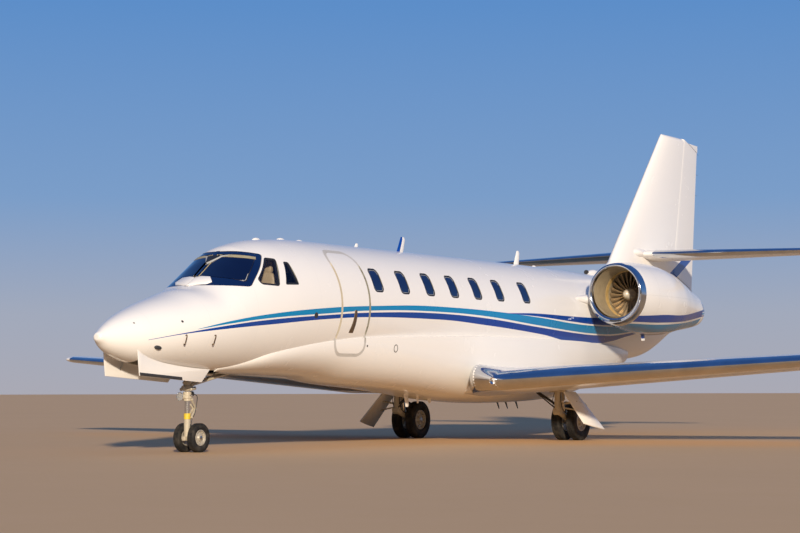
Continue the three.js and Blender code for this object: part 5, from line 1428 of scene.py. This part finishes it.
def tail_details():
    rings = []
    for t in (*np.linspace(0.004, 0.3, 10), *np.linspace(0.36, 1, 9)):
        size = math.sqrt(1 - ((0.3 - t) / 0.3) ** 2) if t < 0.3 else 1 - 0.75 * ((t - 0.3) / 0.7) ** 2
        rings.append(oval(0, 15.58 + 1.14 * t, 3.612, 0.245 * size + 0.004, 0.125 * size + 0.002, 32))
    make("tail_bullet", Shape().loft(rings), PLAIN)
    rings = []
    for t in np.linspace(0, 1, 10):
        size = 0.55 + 0.45 * math.sin(math.pi * min(1, t * 1.1))
        rings.append([(0.075 * size * c, 13.94 + 0.56 * t, 3.06 + 0.02 * t + 0.055 * size * (1.2 + s))
                      for c, s in turns(24)])
    make("ram_scoop", Shape().loft(rings), PLAIN)
    # A dark disc over the front of the scoop: painted shade standing in for the dark inside of its opening.
    mouth_shade = Shape().loft([oval(0, station, 3.128, 0.048, 0.042, 24) for station in (13.932, 13.95)])
    make("ram_scoop_mouth_shade", mouth_shade, DARK, slot="panel")
    beacon = Shape().lathe([(0, -0.01), (0.04, -0.01), (0.045, 0.0), (0.045, 0.018), (0.038, 0.042),
                            (0.02, 0.056), (0, 0.058)], (0, 17.72, 6.138), (0, 0, 1), 32)
    make("tail_beacon", beacon, RED, slot="glass")
    wicks = Shape()
    for z in (5.95, 5.5, 5.05):
        place = fin_place(z)
        rear = place["front"] + place["chord"]
        wicks.rod((0, rear - 0.01, z), (0, min(rear + 0.085, LENGTH - 0.01), z), **WICK)
    make("rudder_wicks", wicks, DARK, "rudder", slot="panel")
    tips = Shape()
    for x in (9.0, 8.6, 8.2):
        place = wing_place(x)
        x, rear, z = place["put"](place["chord"], 0)
        tips.rod((x, rear - 0.01, z), (x, rear + 0.12, z), **WICK)
    pair("wing_wicks", tips, DARK, body="aileron", slot="panel")
    lamp_shape = dome((9.6, 9.95, 1.496), 0.22, 0.07, 0.025)
    make("tip_lamp_left", lamp_shape, RED, slot="glass")
    make("tip_lamp_right", lamp_shape.on(-1), GREEN, slot="glass")
    landing_light()


def landing_light():
    """A round lamp behind the root of the leading edge."""
    centre = Vector(wing_place(1.62)["put"](0.012, -0.012))
    aim = Vector((0.12, -1, -0.05))
    rim = [(0.052, -0.02), (0.062, -0.02), (0.062, 0.016), (0.055, 0.02), (0.052, 0.014)]
    bowl = [(0, 0.0), (0.03, 0.003), (0.052, 0.014), (0.052, 0.006), (0.03, -0.006), (0, -0.01)]
    pair("landing_light_rim", Shape().lathe(rim, centre, aim, 40), CHROME, slot="bright", sharp=50)
    pair("landing_light_bowl", Shape().lathe(bowl, centre, aim, 40), CHROME, slot="bright")


aerials()
skin_details()
tail_details()


# Landing gear

NOSE_LEG = 1.88
NOSE_AXLE = Vector((0, 1.98, 0.203))
MAIN_AXLE = Vector((1.625, 10.19, 0.33))
# Radius, width, hub radius, grooves, half the distance between the two wheels, axle radius, hub holes
NOSE_WHEEL = (0.203, 0.112, 0.112, 3, 0.125, 0.024, 8)
MAIN_WHEEL = (0.33, 0.172, 0.172, 4, 0.145, 0.036, 9)


def tyre_profile(radius, width, hub, grooves):
    """Outer line of a tyre as (radius, across), from one bead round to the other."""
    half = width / 2
    side = [(hub + 0.004, -half * 0.7), (hub + 0.012, -half * 0.8), (radius * 0.66, -half * 0.955),
            (radius * 0.74, -half), (radius * 0.82, -half * 0.985), (radius * 0.905, -half * 0.9),
            (radius * 0.955, -half * 0.78), (radius * 0.985, -half * 0.62)]
    wide, floor = width * 0.022, radius - radius * 0.018
    tread = []
    for share in np.linspace(-0.45, 0.45, grooves):
        c = share * width * 0.62 / 0.9
        tread += [(radius, c - wide * 1.6), (floor, c - wide), (floor, c + wide), (radius, c + wide * 1.6)]
    return side + tread + [(r, -a) for r, a in side[::-1]]


# A hub's outline, from the inner side to the outer, as shares of its radius and half width
HUB_PROFILE = [
    (0, -0.2), (0.3, -0.2), (0.34, -0.55), (0.88, -0.62), (0.9, -1.0), (1.0, -1.0), (1.0, 1.0), (0.93, 1.06),
    (0.88, 0.98), (0.86, 0.62), (0.76, 0.42), (0.56, 0.4), (0.44, 0.48), (0.38, 0.8), (0.34, 0.98),
    (0.2, 1.04), (0, 1.06)
]


def wheel_pair(wheel, centre, body, hub_node, tyres):
    """Two wheels on one axle; the tyres' nodes are named in the order port side, starboard side."""
    radius, width, hub, grooves, offset, axle, holes = wheel
    half = width * 0.36
    for mark, outward, node in zip("ab", (1, -1), tyres):
        x = centre.x + outward * offset
        middle = (x, centre.y, centre.z)
        shape = Shape().lathe(tyre_profile(radius, width, hub, grooves), middle, ACROSS, 96)
        make(f"{node}_skin", shape, RUBBER, body, [node], "tyre", sharp=28)
        shape = Shape().lathe([(r * hub, a * half * outward) for r, a in HUB_PROFILE], middle, ACROSS, 72)
        cuts = Shape()
        for c, n in turns(holes, 0.5):
            s, z = centre.y + 0.66 * hub * c, centre.z + 0.66 * hub * n
            cuts.rod((x - outward * 0.2, s, z), (x + outward * 0.2, s, z), hub * 0.105, 20)
        obj = raw_object(f"{body}_hub_{mark}", shape, HUB)
        carve(obj, cuts)
        settle(obj, body, [hub_node] if mark == "a" else (), "wheel", 40, 0.0012)
        bolts = Shape()
        for c, n in turns(holes):
            s, z = centre.y + 0.79 * hub * c, centre.z + 0.79 * hub * n
            start = x + outward * half * 0.4
            bolts.rod((start, s, z), (start + outward * half * 0.26, s, z), hub * 0.045, 6, 0.001)
        bolts.lathe([(0, 0), (hub * 0.24, 0), (hub * 0.22, 0.01), (hub * 0.1, 0.016), (0, 0.017)],
                    (x + outward * half, centre.y, centre.z), (outward, 0, 0), 32)
        make(f"{body}_bolts_{mark}", bolts, STEEL, body, slot="wheel")
    shaft = Shape().rod((centre.x - offset, centre.y, centre.z), (centre.x + offset, centre.y, centre.z),
                        axle, 32)
    make(f"{body}_axle", shaft, CHROME, body, slot="wheel")


def wheels():
    wheel_pair(NOSE_WHEEL, NOSE_AXLE, "nose_wheels", "nose_hubs", ("nose_tyre_left", "nose_tyre_right"))
    for name, side in SIDES:
        centre = Vector((side * MAIN_AXLE.x, MAIN_AXLE.y, MAIN_AXLE.z))
        tyres = [f"main_tyre_{name}_{place}" for place in ("outer", "inner")[::side]]
        wheel_pair(MAIN_WHEEL, centre, f"main_wheels_{name}", f"main_hubs_{name}", tyres)


wheels()


def pin(y, z, half, *how):
    """The row of a rod that lies across the aircraft, centred on it."""
    return ((-half, y, z), (half, y, z), *how)


def post(y, low, high, *how):
    """The row of an upright rod on the centre line."""
    return ((0, y, low), (0, y, high), *how)


def nose_gear():
    y = NOSE_LEG
    upper = Shape().rods(post(y, 0.853, 1.559, 0.055, 40, 0.004), post(y, 0.865, 0.925, 0.078, 40, 0.008),
                         post(y, 0.955, 0.985, 0.068, 40, 0.006), post(y, 1.2, 1.24, 0.066, 40, 0.004),
                         pin(y, 1.45, 0.253, 0.032, 28, 0.003), pin(y + 0.03, 0.94, 0.085, 0.022, 24, 0.003))
    make("nose_leg_cylinder", upper, LEG, nodes=["nose_leg"], slot="leg")
    brace = Shape().rods(*[((x, y + 0.03, 0.94), (x * 0.6, 2.9, 1.135), 0.017, 20) for x in (-0.075, 0.075)],
                         ((0, y + 0.17, 0.945), (0, 2.9, 1.138), 0.012, 16),
                         pin(2.9, 1.138, 0.088, 0.02, 20, 0.002),
                         ((0.03, 2.325, 1.035), (0.03, 2.73, 1.182), 0.013, 14))
    make("nose_drag_brace", brace, LEG, slot="leg")
    turning = Shape().rods(post(y, 0.715, 0.842, 0.06, 40, 0.005), post(y, 0.745, 0.8, 0.07, 40, 0.006),
                           pin(y + 0.035, 0.735, 0.07, 0.017, 20, 0.002),
                           post(y, 0.175, 0.462, 0.045, 36, 0.004),
                           ((0, y, 0.255), NOSE_AXLE, 0.042, 28, 0.0, 0.04),
                           pin(1.98, 0.203, 0.052, 0.046, 36, 0.003),
                           pin(y + 0.05, 0.485, 0.055, 0.014, 20, 0.002),
                           ((0, y + 0.01, 0.43), (0, y + 0.06, 0.485), 0.022, 20))
    make("nose_steering_collar", turning, LEG, "nose_steering", ["nose_steering"], "leg")
    chrome = Shape().rods(post(y, 0.455, 0.975, 0.0378, 48))
    make("nose_piston", chrome, CHROME, "nose_steering", slot="bright")
    band = Shape().rods(post(y, 0.461, 0.543, 0.047, 40, 0.003))
    make("nose_yellow_band", band, YELLOW, "nose_steering", slot="leg")
    links = Shape()
    elbow = (y + 0.165, 0.609)
    for x in (-0.036, 0.036):
        links.loft(link_rings((x * 1.4, y + 0.035, 0.735), (x * 0.5, *elbow)))
        links.loft(link_rings((x * 0.5, *elbow), (x * 1.2, y + 0.05, 0.485)))
    links.rods(pin(*elbow, 0.03, 0.016, 20, 0.002))
    make("nose_torque_links", links, LEG, "nose_steering", slot="leg", bevel=0.003)
    centre = (0, y - 0.095, 0.775)
    lamp = Shape().lathe([(0, 0.0), (0.028, 0.0), (0.04, -0.02), (0.06, -0.062), (0.0625, -0.07),
                          (0.058, -0.072), (0.045, -0.05), (0.0, -0.035)], centre, AFT, 48)
    lamp.rods(((0, y - 0.1, 0.775), (0, y - 0.055, 0.775), 0.016, 20),
              ((0.01, y - 0.05, 0.79), (0.09, y + 0.01, 0.79), 0.013, 16))
    make("nose_taxi_lamp", lamp, CHROME, "nose_steering", slot="bright", sharp=40)
    lens = Shape().lathe([(0, -0.074), (0.03, -0.073), (0.056, -0.068), (0.056, -0.064), (0, -0.066)],
                         centre, AFT, 48)
    make("nose_taxi_lens", lens, LENS, "nose_steering", slot="glass")
    hoses = Shape()
    hoses.hose([(0.05, y + 0.05, 0.82), (0.07, y + 0.13, 0.78), (0.06, y + 0.13, 0.66),
                (0.055, y + 0.1, 0.54), (0.045, y + 0.05, 0.46), (0.045, y + 0.03, 0.33)], 0.006)
    hoses.hose([(-0.05, y + 0.05, 0.82), (-0.072, y + 0.12, 0.77), (-0.06, y + 0.11, 0.62),
                (-0.05, y + 0.07, 0.5), (-0.045, y + 0.04, 0.36)], 0.005)
    hoses.rods(pin(y + 0.085, 0.815, 0.03, 0.036, 28, 0.004))
    make("nose_hoses", hoses, DARK, "nose_steering", slot="panel")
    blocks = Shape()
    for x in (-0.085, 0.085):
        blocks.rod((x, y - 0.04, 0.875), (x, y + 0.07, 0.895), 0.024, 24, 0.004)
    blocks.rod((0, y - 0.1, 0.9), (0, y - 0.04, 0.9), 0.03, 24, 0.004)
    make("nose_steering_motors", blocks, HUB, slot="leg")
    tow = Shape().box((-0.03, y - 0.08, 0.165), (0.03, y, 0.225))
    make("nose_tow_lug", tow, LEG, "nose_steering", slot="leg", bevel=0.006)


def link_rings(start, end, tall=0.02, thick=0.009):
    """A flat forged arm between two pins."""
    start, end, side = Vector(start), Vector(end), Vector(ACROSS)
    up = (end - start).normalized().cross(side).normalized()
    rings = []
    for t, size in ((0, 0.8), (0.12, 1.0), (0.5, 0.72), (0.88, 1.0), (1, 0.8)):
        p = start.lerp(end, t)
        rings.append([p + up * tall * size * a + side * thick * b
                      for a, b in ((1, 1), (-1, 1), (-1, -1), (1, -1))])
    return rings


def keel_height(x, station):
    """The height of the fuselage's underside at a distance from the centre line."""
    crown, keel, half, waist = body_at(station)
    return waist - (waist - keel) * math.sqrt(1 - (x / half) ** 2)


NOSE_DOOR_X = 0.293


def nose_doors():
    x = NOSE_DOOR_X
    top = [(s, keel_height(x, s) - 0.003) for s in np.linspace(0.475, 2.0, 16).tolist()]
    panel = prism(top + [(1.815, 0.972), (0.515, 1.057)], x, x + 0.015)
    pair("nose_door_panel", panel, PLAIN, "nose_door", bevel=0.004)
    # A dark strip along the foot of each nose door's outer face.
    strip = prism([(0.52, 1.06), (1.4, 1.002), (1.39, 1.044), (0.514, 1.102)], x + 0.0152, x + 0.019)
    pair("nose_door_dark_strip", strip, DARK, slot="panel", bevel=0.001)
    arms = Shape()
    for s in (0.8, 1.6):
        arms.hose([(across, s, z - 0.1 * (s - 0.75))
                   for across, z in ((0.245, 1.29), (0.252, 1.2), (x - 0.006, 1.15))], 0.011)
    pair("nose_door_arms", arms, STEEL, slot="leg")


# The main gear door's outline, as station and height; it leans outwards from its upper edge
MAIN_DOOR = (
    (9.57, 0.83), (9.98, 0.83), (10.01, 0.57), (10.03, 0.31), (10.03, 0.2), (9.72, 0.256), (9.47, 0.31)
)
MAIN_DOOR_THICK = 0.024


def main_door():
    points = [Vector((1.83 + (0.83 - z) * 0.827, s, z)) for s, z in MAIN_DOOR]
    normal = Vector((0, 0, 0))
    for a, b in zip(points, points[1:] + points[:1]):
        normal += a.cross(b)
    normal.normalize()
    return Shape().loft([points, [p + normal * MAIN_DOOR_THICK for p in points]])


def main_gear():
    x = MAIN_AXLE.x

    def across(y, z, half, *how):
        return ((x - half, y, z), (x + half, y, z), *how)

    leg = Shape().rods(((x, 9.74, 0.92), (x, 9.73, 0.5), 0.06, 36, 0.005),
                       across(9.73, 0.5, 0.07, 0.066, 36, 0.004),
                       ((x, 9.73, 0.5), (x, 10.19, 0.33), 0.052, 28, 0.0, 0.046),
                       across(10.19, 0.33, 0.052, 0.066, 36, 0.003),
                       across(9.98, 0.42, 0.05, 0.03, 24, 0.003),
                       ((x, 9.86, 0.92), (x, 9.89, 0.68), 0.048, 32, 0.004),
                       across(9.74, 0.86, 0.16, 0.045, 28, 0.004))
    strut = Shape().rod((x, 9.885, 0.72), (x, 9.98, 0.42), 0.031, 32)
    brace = Shape().rods(((x - 0.05, 9.73, 0.62), (1.2, 9.68, 0.86), 0.022, 20),
                         ((x - 0.05, 9.7, 0.56), (1.24, 9.64, 0.83), 0.011, 14))
    hoses = Shape()
    hoses.hose([(x + 0.055, 9.74, 0.86), (x + 0.075, 9.7, 0.68), (x + 0.07, 9.78, 0.52),
                (x + 0.06, 10.02, 0.42), (x + 0.055, 10.14, 0.37)], 0.007)
    hoses.hose([(x - 0.055, 9.74, 0.86), (x - 0.08, 9.69, 0.66), (x - 0.07, 9.8, 0.49),
                (x - 0.055, 10.14, 0.4)], 0.006)
    arm = Shape().rods(((x + 0.05, 9.74, 0.62), (1.975, 9.76, 0.66), 0.017, 20),
                       ((x + 0.05, 9.75, 0.56), (2.11, 9.88, 0.49), 0.013, 16))
    pair("main_leg_forging", leg, LEG, "main_leg", slot="leg")
    pair("main_shock_rod", strut, CHROME, slot="bright")
    pair("main_side_brace", brace, DARK, slot="leg")
    pair("main_hoses", hoses, DARK, slot="panel")
    pair("main_door_panel", main_door(), PLAIN, "main_door", bevel=0.004)
    pair("main_door_rods", arm, LEG, slot="leg")


nose_gear()
nose_doors()
main_gear()


# Inside the cabin and cockpit

FLOOR_TOP = 1.6605


def padded_block(low, high, cuts=6, power=5.0):
    """Points and faces of a box whose sides swell a little, with soft corners, as an upholstered pad has."""
    low, high = np.array(low, float), np.array(high, float)
    middle, half = (low + high) / 2, (high - low) / 2
    mesh = bmesh.new()
    bmesh.ops.create_cube(mesh, size=2)
    bmesh.ops.subdivide_edges(mesh, edges=mesh.edges[:], cuts=cuts, use_grid_fill=True)
    points = []
    for vert in mesh.verts:
        p = np.array(vert.co)
        points.append(tuple(middle + p / (np.abs(p) ** power).sum() ** (1 / power) * half))
    faces = [tuple(v.index for v in f.verts) for f in mesh.faces]
    mesh.free()
    return points, faces


# The pads of a seat that faces aft: X, station, height from the floor, each low to high, and material
PADS = (
    (-0.205, 0.205, -0.25, 0.2, 0.29, 0.42, 0), (-0.2, 0.2, 0.15, 0.26, 0.36, 0.9, 0),
    (-0.13, 0.13, 0.17, 0.26, 0.885, 1.08, 0), (-0.23, -0.19, -0.2, 0.18, 0.32, 0.52, 0),
    (0.19, 0.23, -0.2, 0.18, 0.32, 0.52, 0), (-0.11, 0.11, -0.16, 0.16, 0.0, 0.3, 1)
)
# Station, X and facing of each seat
SEATS = ((2.95, 0.38, 1), (5.75, 0.56, -1), (6.9, 0.56, 1), (8.15, 0.56, -1), (9.3, 0.56, 1))


def interior():
    row = Shape()
    for station, x, facing in SEATS:
        for x0, x1, s0, s1, z0, z1, slot in PADS:
            near, far = sorted((station + s0 * facing, station + s1 * facing))
            row.add(*padded_block((x + x0, near, FLOOR_TOP + z0), (x + x1, far, FLOOR_TOP + z1)), slot)
    row.box((0.44, 2.7, FLOOR_TOP), (0.48, 9.6, 1.68), 1)
    for seats in pair("seat_row", row, [LEATHER, TRIM], "seats", slot="seat", sharp=60):
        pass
    for node, material in (("cabin_floor", CARPET), ("instrument_panel", PANEL)):
        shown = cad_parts[node].data.materials
        shown.clear()
        shown.append(material)
    screens = Shape()
    for x in (-0.42, -0.14, 0.14, 0.42):
        screens.box((x - 0.11, 1.981, 1.96), (x + 0.11, 1.986, 2.14))
    make("cockpit_displays", screens, glowing("display_blue", (0.02, 0.05, 0.09), 0.4), slot="panel",
         bevel=0.002)


interior()


# Studio: a pale floor, soft light and a pale surround

FLOOR_RADIUS = 400


def studio():
    floor = raw_object("floor", Shape().loft([
        [(FLOOR_RADIUS * c, MIDDLE + FLOOR_RADIUS * s, z) for c, s in turns(96)] for z in (-0.3, 0.0)]),
        floor_material())
    sky()
    lamp("key", (1.0, 0.86, 0.68), 4.5, 3, (0.62, -0.738, 0.285))
    soft = lamp("soft", (0.8, 0.9, 1.0), 0.2, 120, (0.2, -0.3, 1.0))
    soft.visible_glossy = False


def ramp_of(nodes, stops):
    ramp = nodes.new("ShaderNodeValToRGB")
    first, last = ramp.color_ramp.elements
    first.position, first.color = stops[0][0], (*stops[0][1], 1)
    last.position, last.color = stops[-1][0], (*stops[-1][1], 1)
    for position, color in stops[1:-1]:
        ramp.color_ramp.elements.new(position).color = (*color, 1)
    return ramp


# The surround's colours by height, behind the aircraft and ahead of it
BEHIND = ((0.0, (0.4, 0.4, 0.46)), (0.04, (0.36, 0.4, 0.5)), (0.1, (0.2, 0.34, 0.58)),
          (0.2, (0.11, 0.27, 0.58)), (0.45, (0.05, 0.14, 0.38)), (1.0, (0.035, 0.1, 0.3)))
AHEAD = ((0.0, (0.16, 0.14, 0.12)), (0.08, (0.12, 0.14, 0.18)), (0.3, (0.06, 0.13, 0.3)),
         (1.0, (0.035, 0.1, 0.3)))


def sky():
    """A pale surround that deepens overhead, and is dimmer in front of the aircraft than behind it."""
    world = bpy.data.worlds.new("studio")
    scene.world = world
    world.use_nodes = True
    nodes, links = world.node_tree.nodes, world.node_tree.links
    split = nodes.new("ShaderNodeSeparateXYZ")
    links.new(nodes.new("ShaderNodeTexCoord").outputs["Generated"], split.inputs[0])
    turn = nodes.new("ShaderNodeMapRange")
    turn.interpolation_type = "SMOOTHSTEP"
    turn.inputs["From Min"].default_value = -0.3
    turn.inputs["From Max"].default_value = 0.4
    links.new(split.outputs["Y"], turn.inputs["Value"])
    mix = nodes.new("ShaderNodeMix")
    mix.data_type = "RGBA"
    links.new(turn.outputs[0], mix.inputs["Factor"])
    for socket, stops in ((mix.inputs[6], AHEAD), (mix.inputs[7], BEHIND)):
        ramp = ramp_of(nodes, stops)
        links.new(split.outputs["Z"], ramp.inputs[0])
        links.new(ramp.outputs[0], socket)
    links.new(mix.outputs[2], nodes["Background"].inputs["Color"])


def floor_material():
    g = Graph("floor_pale")
    g.color(g.mix(g.noise(0.25, 5), (0.67, 0.43, 0.22), (0.615, 0.395, 0.2)))
    g.rough(g.noise(2, 4), 0.8, 0.95)
    return g.material


def lamp(name, color, strength, angle, direction):
    data = bpy.data.lights.new(name, "SUN")
    data.color = color
    data.energy = strength
    data.angle = math.radians(angle)
    obj = bpy.data.objects.new(name, data)
    obj.rotation_euler = Vector(direction).to_track_quat("Z", "Y").to_euler()
    scene.collection.objects.link(obj)
    return obj


studio()
scene.view_settings.view_transform = "Standard"
